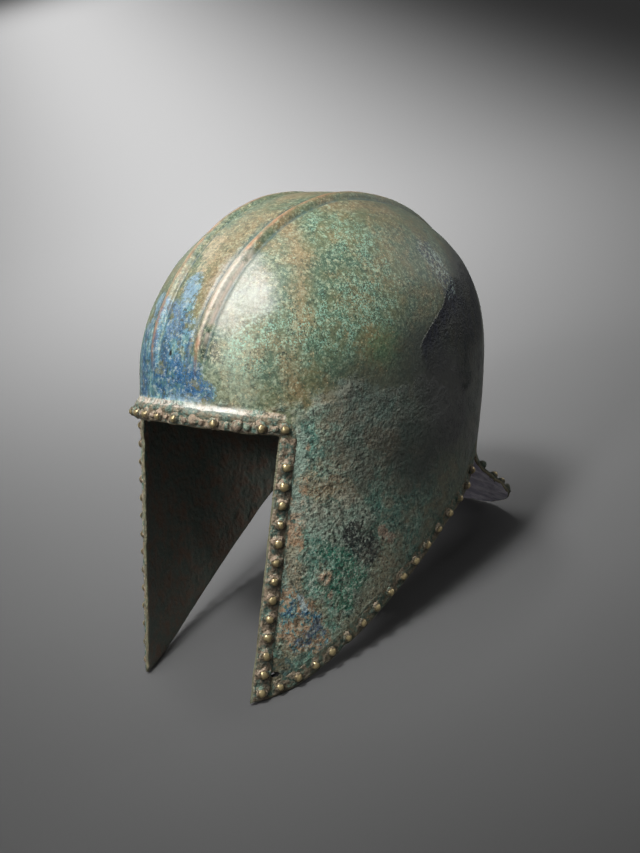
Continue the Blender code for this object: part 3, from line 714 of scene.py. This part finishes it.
class PatinaPaint(Paint):  # the noises and shares that several coats of the patina read
    def __init__(self):
        super().__init__("patina", patinaTones)
        self.fine = self.speck(0.8 * mm, 2, 0.6)
        self.coarse = self.speck(2.6 * mm, 4, 0.82)
        self.mottle = self.speck(7 * mm, 7, 0.68)
        self.cloud = self.speck(28 * mm, 6, 0.64, warp=0.5)
        self.streak = self.speck(5 * mm, 7, 0.7, stretch=(1, 1, 0.16), warp=0.3)
        self.drift = self.speck(15 * mm, 7, 0.68, seed=3.1, warp=0.5)
        self.chips = self.speck(2.0 * mm, 4, 0.8, seed=6.1)
        self.scab = self.speck(7 * mm, 6, 0.7, seed=8.3)
        self.grit = self.speck(2.2 * mm, 4, 0.75, seed=1.7)
        self.pits = (1 - self.grit).step(0.54, 0.60)
        self.pale = self.grains(1.5 * mm, 0.30, 0.2)
        self.broken = (self.mottle - 0.5) * 2.2 + (self.coarse - 0.5) * 2.2 + (self.fine - 0.5) * 1.2
        self.crust = (self.layer("crust") + (self.mottle - 0.5) * 1.2).step(0.25, 0.85)
        self.flake = self.layer("flake")
        self.dusky = self.layer("navy") - 0.6 * self.layer("paintedSideShade") + self.broken * 0.3
        sharp, faded = self.dusky.step(0.44, 0.54), self.dusky.step(0.05, 1.05) * (1 - self.flake)
        self.night = sharp * self.flake + faded * 0.9
        crest = self.layer("ribCrest") * (0.7 + (self.mottle - 0.5) * 5)
        crest = (crest * (1 - 0.75 * self.layer("ribGlint"))).clamp()
        self.copper = crest * (1 - 0.7 * self.layer("back"))

    def stain(self, name):
        low, high, ragged = stainEdges.get(name, plainEdge)
        share = self.layer(name)
        return (share + self.broken * ragged * share.step(0.0, 0.4)).step(low, high)

    def stains(self, colour, covers):  # stains one over another, each by how much it covers
        for name, cover in covers.items():
            colour = self.coat(colour, name, self.stain(name) * cover)
        return colour


def openBronze(paint):
    mottle, coarse, cloud, drift = paint.mottle, paint.coarse, paint.cloud, paint.drift
    fine, chips, mint = paint.fine, paint.chips, paint.layer("mint")
    sand, dark = paint.grains(1.05 * mm, 0.24, 0.7), paint.grains(1.3 * mm, 0.34, 1.3)
    colour = paint.coat("bronzeOlive", "bronzeGreen", cloud.step(0.42, 0.60))
    colour = paint.coat(colour, "buff", drift.step(0.45, 0.62) * 0.7)
    colour = paint.coat(colour, "pine", mottle.step(0.48, 0.66) * 0.6)
    # ochre is a stain; the paler patch laid after it is painted light on the forehead
    colour = paint.stains(colour, {"ochre": 0.6, "light": 0.5})
    colour = paint.coat(colour, "hollow", (1 - coarse).step(0.52, 0.62) * 0.6)
    colour = paint.coat(colour, "worn", coarse.step(0.53, 0.61) * (0.1 + 0.9 * mottle))
    colour = paint.coat(colour, "paleGrain", paint.pale * (mottle + 0.2 * mint).step(0.49, 0.60) * 0.6)
    colour = paint.coat(colour, "sandGrain", sand * (drift + 0.3 * fine).step(0.58, 0.70) * 0.6)
    colour = paint.coat(colour, "darkGrain", dark * cloud.step(0.42, 0.56) * (0.35 + 0.55 * mint))
    minty = mint * mottle.step(0.42, 0.56) * (fine.step(0.52, 0.60) + 0.5 * coarse.step(0.54, 0.60))
    colour = paint.coat(colour, "mint", minty.clamp() * 0.75)
    flecked = cloud.step(0.40, 0.56) * (1 - 0.65 * paint.layer("satin"))
    colour = paint.coat(colour, "chip", flecked * chips.step(0.54, 0.60) * 0.4)
    colour = paint.coat(colour, "chipGap", flecked * (1 - chips).step(0.54, 0.60) * 0.45)
    # among these last stains is a painted highlight on the front of the dome
    return paint.stains(colour, {"moss": 0.5, "paintedHighlight": 0.44, "fold": 0.4, "cream": 0.4})


def mosaicCrust(paint):  # islands of tan, teal and blue near the tip of the cheek guard
    island = paint.speck(3.6 * mm, 4, 0.65, seed=5.7, warp=0.8) + 1.2 * (paint.scab - 0.5)
    colour = paint.coat("mosaicTan", "mosaicTeal", island.step(0.54, 0.57))
    return paint.coat(colour, "mosaicBlue", island.step(0.62, 0.65) * 0.85)


def crustCoat(paint):
    mottle, coarse, drift = paint.mottle, paint.coarse, paint.drift
    chips, scab, verdure = paint.chips, paint.scab, paint.layer("verdure")
    colour = paint.coat("crustGrey", "crustGreen", paint.cloud.step(0.42, 0.58))
    colour = paint.coat(colour, "verdure", verdure * mottle.step(0.40, 0.54) * 0.8)
    colour = paint.coat(colour, "earth", drift.step(0.49, 0.60) * 0.55)
    colour = paint.coat(colour, "soot", (1 - drift).step(0.50, 0.62) * 0.6)
    colour = paint.coat(colour, "seaGreen", mottle.step(0.48, 0.60) * 0.5)
    shore = paint.coat("shoreGreen", "shorePink", drift.step(0.48, 0.54))
    colour = paint.coat(colour, shore, paint.stain("shore") * 0.8)
    colour = paint.stains(colour, {"umber": 0.5, "ash": 0.45, "emerald": 0.7, "olive": 0.65,
                                   "plum": 0.92, "flesh": 0.75})
    colour = paint.coat(colour, mosaicCrust(paint), paint.stain("pocks") * 0.9)
    colour = paint.coat(colour, "cobalt", paint.stain("cobalt") * mottle.step(0.48, 0.54) * 0.75)
    colour = paint.stains(colour, {"whiteBlue": 0.8})
    sparkle = (verdure + paint.layer("emerald")).clamp()
    colour = paint.coat(colour, "sparkle", sparkle * chips.step(0.53, 0.58) * 0.5)
    colour = paint.coat(colour, "sparkleGap", sparkle * (1 - coarse).step(0.54, 0.60) * 0.6)
    colour = paint.coat(colour, "craterRing", paint.layer("craterRing") * 0.95)
    colour = paint.coat(colour, "craterPit", paint.layer("craterPit") * 0.9)
    calm = 1 - 0.6 * (paint.layer("pocks") + paint.layer("shore")).clamp()
    gritty = calm * (0.3 + 0.7 * scab.step(0.42, 0.58))
    colour = paint.coat(colour, "gritTop", paint.grit.step(0.54, 0.60) * gritty * 0.6)
    colour = paint.coat(colour, "crustChip", chips.step(0.55, 0.60) * calm * 0.52)
    colour = paint.coat(colour, "gritGap", paint.pits * (0.3 + 0.6 * gritty))
    colour = paint.coat(colour, "crustChipGap", (1 - chips).step(0.55, 0.60) * 0.7)
    scabEdge = scab.step(0.47, 0.50) * (1 - scab.step(0.51, 0.55))
    return paint.coat(colour, "scabEdge", scabEdge * paint.layer("patchy") * 0.35)


def azureCoat(paint):
    mottle, coarse, streak = paint.mottle, paint.coarse, paint.streak
    colour = paint.coat("azure", "azurePale", streak.step(0.42, 0.58))
    colour = paint.coat(colour, "azureDark", (1 - streak).step(0.54, 0.64) * 0.5)
    colour = paint.coat(colour, "azureGreen", (streak + 0.4 * coarse).step(0.74, 0.86) * 0.75)
    colour = paint.stains(colour, {"deep": 0.85})
    colour = paint.coat(colour, "azurePit", paint.pits * 0.7)
    colour = paint.coat(colour, "azureGap", (1 - coarse).step(0.53, 0.59) * 0.8)
    colour = paint.stains(colour, {"lavender": 0.6, "sky": 0.7})
    colour = paint.coat(colour, "azureMoss", mottle.step(0.52, 0.60) * 0.6)
    colour = paint.coat(colour, "azureBrown", (1 - mottle).step(0.57, 0.62) * 0.55)
    colour = paint.coat(colour, "azureChip", coarse.step(0.55, 0.61) * 0.5)
    return paint.coat(colour, "azureGrain", paint.pale * coarse.step(0.46, 0.56) * 0.5)


def darkenSide(paint, colour):
    # Painted shade, partly the darker patina there: the colour darkens towards the back and under the
    # shade strokes, then a darker grey near the top of the back.
    shade = (0.6 * paint.layer("back") + 0.7 * paint.layer("paintedShade")).clamp()
    colour = paint.coat(colour, "paintedShade", shade * (1.0 + 0.9 * (paint.mottle - 0.5)).clamp())
    colour = paint.coat(colour, "paintedSideShade", paint.layer("paintedSideShade") * 0.6)
    return paint.coat(colour, "murk", paint.layer("murk") * (0.3 + 0.8 * paint.mottle))


def crustRib(paint, colour):
    crusted = paint.stain("ribCrust")
    colour = paint.coat(colour, "ribCrustGap", crusted * (1 - paint.coarse).step(0.46, 0.54) * 0.85)
    return paint.coat(colour, "ribCrust", crusted * paint.chips.step(0.53, 0.58) * 0.6)


def darkPatch(paint, colour):
    chips, dusky, bluish = paint.chips, paint.dusky, paint.stain("navySpeck")
    night = paint.coat("night", "nightGrey", paint.streak.step(0.42, 0.58))
    colour = paint.coat(colour, night, paint.night)
    lip = dusky.step(0.34, 0.40) * (1 - dusky.step(0.44, 0.50)) * paint.flake
    colour = paint.coat(colour, "flakeLip", lip * 0.8)
    colour = paint.coat(colour, "navyGap", bluish * (1 - chips).step(0.51, 0.56) * 0.8)
    return paint.coat(colour, "navyChip", bluish * chips.step(0.51, 0.56) * 0.6)


def browLedge(paint, colour):
    mottle, coarse = paint.mottle, paint.coarse
    crusted = paint.coat("ledgePink", "ledgeGreen", mottle.step(0.46, 0.60))
    crusted = paint.coat(crusted, "ledgeChip", coarse.step(0.52, 0.60) * 0.55)
    crusted = paint.coat(crusted, "ledgeGap", (1 - coarse).step(0.52, 0.58) * 0.8)
    share = (paint.layer("ledge") + (mottle - 0.5) * 2).step(0.4, 0.7)
    colour = paint.coat(colour, crusted, share * 0.8)
    # a painted highlight along the top of the ledge, strongest where it glints
    ledgeHighlight = paint.layer("ledgeTop") * (0.1 + 0.9 * paint.layer("glint"))
    colour = paint.coat(colour, "ledgePaintedHighlight", ledgeHighlight * (0.7 + paint.broken * 0.6).clamp())
    # a painted shadow line in the groove above the rivet heads
    return paint.coat(colour, "ledgePaintedShadow", paint.layer("ledgePaintedShadow") * 0.45)


def ribLines(paint, colour):
    mottle = paint.mottle
    colour = paint.coat(colour, "copper", paint.copper * 0.7)
    # painted highlights: pale lines along the ribs' flanks and crest on their lower front stretch
    lines = (paint.layer("ribHighlightLine") + 0.35 * paint.layer("ribCrest")) * paint.layer("ribGlint")
    colour = paint.coat(colour, "ribHighlightLine", lines.clamp() * mottle.step(0.36, 0.50) * 0.85)
    return paint.coat(colour, "ribFoot", paint.layer("ribFoot") * mottle.step(0.36, 0.52) * 0.75)


def sheetEdge(paint, colour):
    mottle = paint.mottle
    edge = (paint.layer("edge") + (mottle - 0.5) * 2).step(0.4, 0.6)
    crusted = paint.coat("edgeBrown", "edgeGreen", mottle.step(0.42, 0.58))
    crusted = paint.coat(crusted, "edgeGrain", paint.pale * 0.6)
    crusted = paint.coat(crusted, "edgeGap", (1 - paint.coarse).step(0.50, 0.62) * 0.75)
    colour = paint.coat(colour, crusted, edge * 0.8)
    return paint.coat(colour, "rimEdge", paint.layer("rimEdge") * mottle.step(0.40, 0.56) * 0.4)


def patinaRelief(paint, dull):
    lump, swell = paint.speck(2.2 * mm, 2, 0.6, seed=1.7), paint.speck(7 * mm, 2, 0.5, seed=8.3)
    grain = paint.speck(1.3 * mm, 1, 0.5, seed=4.4)
    height = 0.18 * lump + 0.12 * grain - 0.25 * paint.dusky.step(0.42, 0.48) * paint.flake
    height = height + dull * (0.4 + 0.6 * paint.layer("patchy")) * (0.95 * lump + 0.4 * grain)
    height = height + paint.crust * (0.6 * swell + 0.2 * paint.scab.step(0.46, 0.54))
    return paint.bump(height, 1.3 * mm)


def patina():
    paint = PatinaPaint()
    colour = paint.coat(openBronze(paint), crustCoat(paint), paint.crust)
    colour = darkenSide(paint, colour)
    colour = paint.coat(colour, azureCoat(paint), paint.stain("azure"))
    colour = crustRib(paint, colour)
    colour = darkPatch(paint, colour)
    colour = paint.coat(colour, "veins", paint.stain("veins") * (1 - paint.pits) * 0.3)
    colour = browLedge(paint, colour)
    colour = ribLines(paint, colour)
    colour = sheetEdge(paint, colour)
    # painted shade: near-black in the pinhole and on the walls of the hole
    colour = paint.coat(colour, "pinhole", paint.layer("pinhole").step(0.3, 0.6))
    dull = paint.crust + paint.layer("ledge") * (1 - paint.layer("glint")) + paint.layer("edge")
    dull = (dull.clamp() + 0.8 * paint.night).clamp()
    roughness = 0.50 + 0.35 * (paint.coarse - 0.45) + 0.26 * dull - 0.10 * paint.copper
    return paint.finish(Base_Color=colour, Roughness=roughness.clamp(),
                        Metallic=(0.05 + 0.4 * paint.copper).clamp(),
                        Coat_Weight=(0.28 - 0.28 * dull).clamp(), Coat_Roughness=0.42,
                        Normal=patinaRelief(paint, dull))


insideTones = {
    "brown": (130, 120, 108), "green": (112, 122, 112), "rust": (138, 104, 84),
    "dust": (160, 152, 130), "crumbPink": (184, 156, 136), "crumbGreen": (116, 140, 130),
    # very pale lilacs: painted light on the neck guard's inside, over its purple-grey
    "crumbGap": (60, 56, 46), "lilacPaintedLight": (190, 184, 202), "lilacPaintedLightPale": (245, 240, 250),
}


def darkInside():
    paint = Paint("dark inside", insideTones)
    fine, mottle = paint.speck(1.6 * mm, 5, 0.68), paint.speck(9 * mm, 6, 0.65)
    sweep = paint.speck(11 * mm, 5, 0.6, stretch=(1, 1, 3))
    colour = paint.coat("brown", "green", mottle.step(0.4, 0.62))
    colour = paint.coat(colour, "rust", (1 - mottle).step(0.52, 0.64) * 0.4)
    colour = paint.coat(colour, "dust", fine.step(0.54, 0.68) * 0.5)
    crumb = paint.coat("crumbPink", "crumbGreen", mottle.step(0.46, 0.56))
    crumb = paint.coat(crumb, "crumbGap", (1 - fine).step(0.50, 0.60) * 0.6)
    colour = paint.coat(colour, crumb, paint.layer("creep"))
    # painted light: the neck guard's inside is coloured a very pale lilac, lighter than its purple-grey,
    # with paler streaks
    lilacPaintedLight = paint.coat("lilacPaintedLight", "lilacPaintedLightPale", sweep.step(0.40, 0.64))
    guard = (paint.layer("guard") + 1.5 * (mottle - 0.5)).step(0.3, 0.9)
    colour = paint.coat(colour, lilacPaintedLight, guard)
    height = paint.speck(3 * mm, 2, 0.5) + 1.5 * paint.speck(9 * mm, 2, 0.5)
    return paint.finish(Base_Color=colour, Roughness=0.7, Metallic=0.1,
                        Normal=paint.bump(height, 0.9 * mm))


# The rivet borders

borders = (  # widths and heights in millimetres; the other numbers are shares
    {"nodes": ("brow_border",), "width": 5.7, "rise": 0.75, "head": 2.75, "crusted": 0.55,
     "bare": 0.85, "lumps": 2, "collar": 1.12, "drabAndShade": 0.0},
    {"nodes": ("cheek_front_border_l", "cheek_front_border_r"), "width": 8.8, "rise": 0.75,
     "head": 2.8, "crusted": 0.3, "bare": 0.95, "lumps": 0, "collar": 1.15, "drabAndShade": 0.0},
    {"nodes": ("cheek_rear_border_l", "cheek_rear_border_r"), "width": 8.0, "rise": 0.3,
     "head": 2.65, "crusted": 0.15, "bare": 1.0, "lumps": 0, "collar": 0.85, "drabAndShade": 0.4},
    {"nodes": ("neck_border",), "width": 6.8, "rise": 0.5, "head": 2.45, "crusted": 0.2,
     "bare": 0.6, "lumps": 0, "collar": 1.0, "drabAndShade": 1.0},
)
strip = {
    "outer": 0.7 * mm,    # what stands higher on a packed border is its outer side or a head
    "top": 0.9 * mm,      # where the outer side is laid before it is shaped
    "sunk": -0.5 * mm,    # the strip's underside, in the sheet
    "cuts": 2, "side": (0.1, 0.9), "feather": (1.2, 3.0), "wander": 1.6, "thin": 0.15,
    "lump": 0.55 * mm, "lumpSize": 3.6 * mm, "lumpFade": (0.7, 2.5),
    # where the painted shadow lies from each head, and how far it reaches in head sizes
    "paintedShadowShift": (0.0, 0.0015, -0.0025), "paintedShadowReach": (2.1, 1.1),
}
rivet = {
    "segments": 18, "rings": 12, "cut": -0.42, "skirt": 0.3, "flare": 1.28,
    "drawnUp": 0.10,      # a slightly narrower top
    "tall": 2.2 * mm, "tip": 0.1 * mm,  # how high a packed head stands, and its tip over the rest
    "sizes": (0.93, 1.04), "sunk": 1.02, "tilt": 0.06, "crusted": 0.35,
    "ragged": 0.04, "raggedMore": 0.2, "wanderSize": 0.8,
    # shares along the head's height, from its middle at 0 to its top at 1
    "crustLow": (0.45, -0.5), "wornHigh": (-0.2, 0.9), "wornWander": 0.35, "paintedShadowLow": (0.5, -0.3),
}
collar = {  # crust that gathers over each head; out and shift are in millimetres
    "out": 0.3, "sizes": (0.88, 1.05), "flat": 0.55, "ragged": 0.3,
    "shift": (0.0, -0.1, 0.9), "shifts": (0.3, 1.0),
}
crumbLump = {  # crust between two heads; out is in millimetres
    "out": 1.0, "sizes": (0.5, 0.72), "flat": 0.8, "ragged": 0.35, "along": (0.4, 0.6), "odds": 1.6,
}


def shellTree():
    shell = frame["nodes"]["helmet_shell"].data
    return BVHTree.FromPolygons([v.co for v in shell.vertices],
                                [p.vertices for p in shell.polygons])


def overShell(shell, points):  # the shell's nearest places, its normals there, and the heights over it
    spots = [shell.find_nearest(Vector(p)) for p in points]
    return (np.array([spot[0] for spot in spots]), np.array([spot[1] for spot in spots]),
            np.array([spot[3] for spot in spots]))


def modelHead():
    bpy.ops.object.select_all(action="DESELECT")
    bpy.ops.mesh.primitive_uv_sphere_add(segments=rivet["segments"], ring_count=rivet["rings"],
                                         radius=1.0)
    head = bpy.context.object
    bpy.ops.object.mode_set(mode="EDIT")
    bpy.ops.mesh.select_all(action="SELECT")
    bpy.ops.mesh.bisect(plane_co=(0, 0, rivet["cut"]), plane_no=(0, 0, 1), clear_inner=True)
    bpy.ops.mesh.extrude_region_move(TRANSFORM_OT_translate={"value": (0, 0, -rivet["skirt"])})
    bpy.ops.transform.resize(value=(rivet["flare"], rivet["flare"], 1.0))
    bpy.ops.mesh.select_all(action="DESELECT")
    bpy.ops.object.mode_set(mode="OBJECT")
    points = readPoints(head)
    upper = np.clip(points[:, 2], 0, 1)
    points[:, :2] *= (1 - rivet["drawnUp"] * upper ** 2)[:, None]
    writePoints(head, points)
    return head


def headTips(piece, heights):
    edges = readEdges(piece)
    best = np.full(len(heights), -1.0)
    for a, b in ((0, 1), (1, 0)):
        np.maximum.at(best, edges[:, a], heights[edges[:, b]])
    return np.flatnonzero((heights > rivet["tall"]) & (heights >= best + rivet["tip"]))


def layStrip(piece, foot, up, outer):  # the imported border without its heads, finely divided
    writePoints(piece, foot + up * np.where(outer, strip["top"], strip["sunk"])[:, None])
    pick(piece)
    bpy.ops.object.mode_set(mode="EDIT")
    bpy.ops.mesh.select_all(action="SELECT")
    bpy.ops.mesh.quads_convert_to_tris()
    bpy.ops.mesh.subdivide(number_cuts=strip["cuts"])
    bpy.ops.mesh.select_all(action="DESELECT")
    bpy.ops.object.mode_set(mode="OBJECT")


def shapeStrip(piece, spec, seed, shell, rim):
    points = readPoints(piece)
    foot, up, heights = overShell(shell, points)
    edge, where = distances(rim, points) / mm, asUpright(points)
    lumps = wander(where, strip["lumpSize"], seed=seed * 3.0)
    past, before = strip["feather"]
    cover = smoothStep(spec["width"] + past, spec["width"] - before, edge + strip["wander"] * lumps)
    crown = (spec["rise"] * cover - strip["thin"]) * mm
    crown += strip["lump"] * lumps * smoothStep(*strip["lumpFade"], edge)
    outer = smoothStep(*strip["side"], heights / mm)
    points = foot + up * (strip["sunk"] + (crown - strip["sunk"]) * outer)[:, None]
    writePoints(piece, keepInBox(points + wornEdge(where, edge)))
    return points


def dressBorder(node, spec, seed, shell, rim, pattern):
    piece = copyOfNode(node, "dressed_" + node)
    points = readPoints(piece)
    foot, up, heights = overShell(shell, points)
    tips = [(Vector(points[n]), Vector(up[n]).normalized()) for n in headTips(piece, heights)]
    layStrip(piece, foot, up, heights > strip["outer"])
    points = shapeStrip(piece, spec, seed, shell, rim)
    for name in ("knob", "head", "crumb"):
        paintLayer(piece, name, np.zeros(len(points)))
    # painted shadow on the strip, below and behind each head
    beneath = toRest.to_3x3() @ Vector(strip["paintedShadowShift"])
    below = np.array([min((Vector(p) - tip - beneath).length for tip, _ in tips) for p in points])
    paintLayer(piece, "paintedShadow", smoothStep(*strip["paintedShadowReach"], below / mm / spec["head"]))
    # a duller green for the rear borders, and painted shade on the neck border
    paintLayer(piece, "drabAndShade", np.full(len(points), spec["drabAndShade"]))
    draw = random.Random(seed)
    knobs = placeKnobs(tips, spec, shell, draw)
    heads = [modelKnob(knob, spec, pattern, draw) for knob in knobs]
    pick(piece)
    for head in heads:
        head.select_set(True)
    bpy.ops.object.join()
    return piece


def placeKnobs(tips, spec, shell, draw):  # the heads with their collars of crust, and the lumps between
    knobs = []
    for tip, up in tips:
        radius = spec["head"] * draw.uniform(*rivet["sizes"])
        knobs.append({"centre": tip - up * radius * rivet["sunk"] * mm, "up": up, "radius": radius,
                      "worn": 1.0 if draw.random() < spec["bare"] else rivet["crusted"], "flat": 1.0,
                      "ragged": rivet["ragged"] + rivet["raggedMore"] * draw.random() * spec["crusted"]})
        foot, out = shell.find_nearest(tip)[:2]
        aside = toRest.to_3x3() @ Vector(collar["shift"]) * draw.uniform(*collar["shifts"]) * mm
        knobs.append({"centre": foot + out * collar["out"] * mm + aside, "up": out, "worn": 0.0,
                      "radius": radius * spec["collar"] * draw.uniform(*collar["sizes"]),
                      "flat": collar["flat"], "ragged": collar["ragged"]})
    for tip, up in tips:
        nearest = sorted(tips, key=lambda other: (other[0] - tip).length)[1:3]
        for other in nearest[:spec["lumps"]]:
            later = other[0].x + other[0].z > tip.x + tip.z
            if later and spec["lumps"] > draw.uniform(0, crumbLump["odds"]):
                middle = tip.lerp(other[0], draw.uniform(*crumbLump["along"]))
                foot, out = shell.find_nearest(middle)[:2]
                knobs.append({"centre": foot + out * crumbLump["out"] * mm, "up": out, "worn": 0.0,
                              "radius": spec["head"] * draw.uniform(*crumbLump["sizes"]),
                              "flat": crumbLump["flat"], "ragged": crumbLump["ragged"]})
    return knobs


def modelKnob(knob, spec, pattern, draw):
    head = pattern.copy()
    head.data = pattern.data.copy()
    bpy.context.scene.collection.objects.link(head)
    aim = Vector([draw.uniform(-1, 1) for _ in range(3)])
    sit = knob["up"].lerp(aim, rivet["tilt"]).normalized()
    local = readPoints(head)
    height = local[:, 2].copy()
    ragged = wander(local, rivet["wanderSize"], seed=draw.uniform(0, 90), octaves=4)
    low = smoothStep(*rivet["crustLow"], height)
    local += local * (ragged * (knob["ragged"] + spec["crusted"] * low))[:, None]
    turn = sit.to_track_quat("Z", "X").to_matrix() @ Matrix.Rotation(draw.uniform(0, 6), 3, "Z")
    local[:, 2] *= knob["flat"]
    places = local @ np.array(turn).T * (knob["radius"] * mm) + np.array(knob["centre"])
    writePoints(head, keepInBox(places))
    worn = smoothStep(*rivet["wornHigh"], height + rivet["wornWander"] * ragged) * knob["worn"]
    paintLayer(head, "knob", worn)
    paintLayer(head, "head", np.full(len(local), knob["worn"]))
    paintLayer(head, "crumb", np.full(len(local), 1 - knob["worn"]))
    # painted shadow towards the foot of each bare head
    paintLayer(head, "paintedShadow", smoothStep(*rivet["paintedShadowLow"], height) * knob["worn"])
    paintLayer(head, "drabAndShade", spec["drabAndShade"] * (1 - worn * (1 - spec["drabAndShade"])))
    return head


borderTones = {
    "brown": (128, 114, 94), "green": (86, 112, 100), "tan": (166, 146, 124),
    "paleGrain": (186, 176, 152), "gap": (34, 38, 30), "darkGrain": (44, 44, 34),
    # these two rows hold a duller green that is also painted shade, and the near-black of painted shadow
    "crumbPink": (170, 148, 128), "crumbGreen": (128, 148, 130), "drabAndShade": (60, 72, 60),
    "paintedShadow": (24, 26, 22), "bronze": (112, 98, 72), "bronzeTip": (190, 172, 128),
}


def rivetBronze():
    paint = Paint("rivet borders", borderTones)
    coarse, mottle = paint.speck(1.9 * mm, 6, 0.72), paint.speck(6 * mm, 6, 0.66)
    pale, dark = paint.grains(1.2 * mm, 0.34, 0.5), paint.grains(1.4 * mm, 0.3, 1.9)
    knob = paint.layer("knob")
    worn = (knob + (mottle - 0.5) * 1.2 + (coarse - 0.5) * 1.2).step(0.25, 0.75) * paint.layer("head")
    colour = paint.coat("brown", "green", mottle.step(0.46, 0.58))
    colour = paint.coat(colour, "tan", coarse.step(0.50, 0.62) * 0.75)
    colour = paint.coat(colour, "paleGrain", pale * 0.65)
    colour = paint.coat(colour, "gap", (1 - coarse).step(0.52, 0.64) * 0.8)
    colour = paint.coat(colour, "darkGrain", dark * 0.5)
    crumb = paint.coat("crumbPink", "crumbGreen", mottle.step(0.50, 0.60))
    colour = paint.coat(colour, crumb, paint.layer("crumb") * (0.2 + 0.6 * coarse))
    # a duller green on the rear borders, and painted shade darkening the neck border
    colour = paint.coat(colour, "drabAndShade", paint.layer("drabAndShade") * (0.5 + 0.5 * mottle))
    # painted shadow around the heads
    colour = paint.coat(colour, "paintedShadow", paint.layer("paintedShadow") * (0.4 + 0.4 * coarse))
    colour = paint.coat(colour, "bronze", worn * 0.8)
    colour = paint.coat(colour, "bronzeTip", worn * knob.step(0.75, 1.0) * 0.8)
    lump = paint.speck(2.6 * mm, 2, 0.5, seed=4.1)
    normal = paint.bump((1 - 0.8 * worn) * (lump + 0.15 * pale), 1.6 * mm)
    return paint.finish(Base_Color=colour, Roughness=(0.74 - 0.44 * worn).clamp(),
                        Metallic=(0.1 + 0.5 * worn).clamp(), Normal=normal)


# The camera keeps the photo's view of the helmet, which the lean turns with it

view = {
    "eye": Vector((0.7116, -0.7095, 0.2732)),  # with the helmet upright
    "around": 45.0, "above": 7.817, "roll": 0.3,
    "lens": 74.72,
}


def placeCamera():
    data = bpy.data.cameras.new("camera")
    data.lens = view["lens"]
    camera = bpy.data.objects.new("camera", data)
    bpy.context.scene.collection.objects.link(camera)
    turn = (Matrix.Rotation(math.radians(view["around"]), 4, "Z")
            @ Matrix.Rotation(math.radians(90 - view["above"]), 4, "X")
            @ Matrix.Rotation(math.radians(view["roll"]), 4, "Z"))
    camera.matrix_world = toRest @ Matrix.Translation(view["eye"]) @ turn
    bpy.context.scene.camera = camera


# Floor and lights

room = {
    "floorSize": 60.0, "floorCuts": 3, "floorTone": (82, 82, 82), "floorRoughness": 0.85,
    "sky": 0.18,
    "lights": (  # direction with the helmet upright, distance, size, power, and how wide it shines
        {"name": "key", "from": (0.08, -0.62, 0.78), "away": 1.6,
         "size": 0.34, "power": 0.80, "wide": 29},
        {"name": "over", "from": (-0.08, -0.50, 0.86), "away": 1.5,
         "size": 0.7, "power": 0.42, "wide": 40},
        {"name": "fill", "from": (0.18, -0.93, 0.30), "away": 2.0,
         "size": 0.3, "power": 0.44, "wide": 30},
        {"name": "rim", "from": (-0.9, 0.2, 0.55), "away": 1.8,
         "size": 0.6, "power": 0.35, "wide": 60},
        {"name": "behind", "from": (0.35, 0.75, 0.60), "away": 1.7,
         "size": 0.9, "power": 0.35, "wide": 44},
    ),
    # a long soft box over the floor behind, in line with the view
    "backdrop": {"at": (-1.6, 1.16, 1.3), "turn": 146, "size": (3.2, 0.2),
                 "power": 36.0, "wide": 50},
}


def layFloor():
    bpy.ops.mesh.primitive_plane_add(size=room["floorSize"])
    floor = bpy.context.object
    floor.name = "floor"
    bpy.ops.object.mode_set(mode="EDIT")
    bpy.ops.mesh.select_all(action="SELECT")
    bpy.ops.mesh.subdivide(number_cuts=room["floorCuts"])
    bpy.ops.object.mode_set(mode="OBJECT")
    material = bpy.data.materials.new("floor")
    material.use_nodes = True
    shader = material.node_tree.nodes["Principled BSDF"]
    shader.inputs["Base Color"].default_value = tone(*room["floorTone"])
    shader.inputs["Roughness"].default_value = room["floorRoughness"]
    floor.data.materials.append(material)


def hangLight(name, shape, size, power, wide):
    data = bpy.data.lights.new(name, "AREA")
    data.shape = shape
    data.size, data.size_y = size
    data.energy = power
    data.spread = math.radians(wide)
    light = bpy.data.objects.new(name, data)
    bpy.context.scene.collection.objects.link(light)
    return light


def hangLights():
    middle = (cadBox[0] + cadBox[1]) / 2
    for spec in room["lights"]:
        light = hangLight(spec["name"], "SQUARE", [spec["size"]] * 2, spec["power"], spec["wide"])
        way = (toRest.to_3x3() @ Vector(spec["from"])).normalized()
        light.location = middle + way * spec["away"]
        light.rotation_euler = way.to_track_quat("Z", "Y").to_euler()
    spec = room["backdrop"]
    light = hangLight("backdrop", "RECTANGLE", spec["size"], spec["power"], spec["wide"])
    light.location = spec["at"]
    light.rotation_euler = (0, 0, math.radians(spec["turn"]))


def lightSky():
    world = bpy.data.worlds.new("studio")
    world.use_nodes = True
    sky = world.node_tree.nodes["Background"]
    sky.inputs["Color"].default_value = (1, 1, 1, 1)
    sky.inputs["Strength"].default_value = room["sky"]
    bpy.context.scene.world = world
    bpy.context.scene.view_settings.view_transform = "Standard"


def dressSheet():
    piece = growSheet()
    pierce(piece)
    print("sheet grown:", len(piece.data.polygons), "faces")
    weatherSheet(piece)
    print("sheet weathered")
    outside, inside = patina(), darkInside()
    for slot, material in enumerate((outside, inside, outside)):
        piece.data.materials[slot] = material
    piece.data.shade_smooth()
    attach(piece, "root")
    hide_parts("helmet_shell")
    return piece


def dressBorders(dressed):
    shell = shellTree()
    rim = treeOf(readPoints(dressed)[pointsOfSlot(dressed, 2)])
    pattern, bronze = modelHead(), rivetBronze()
    rows = [(node, spec) for spec in borders for node in spec["nodes"]]
    for seed, (node, spec) in enumerate(rows, 1):
        piece = dressBorder(node, spec, seed, shell, rim, pattern)
        piece.data.materials.clear()
        piece.data.materials.append(bronze)
        piece.data.shade_smooth()
        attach(piece, "root")
        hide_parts(node)
        print(node, "dressed:", len(piece.data.polygons), "faces")
    bpy.data.objects.remove(pattern)


def main():
    placeCamera()
    layFloor()
    hangLights()
    lightSky()
    print("stage set")
    dressBorders(dressSheet())
    bpy.ops.object.select_all(action="DESELECT")

    print("helmet dressed")


main()
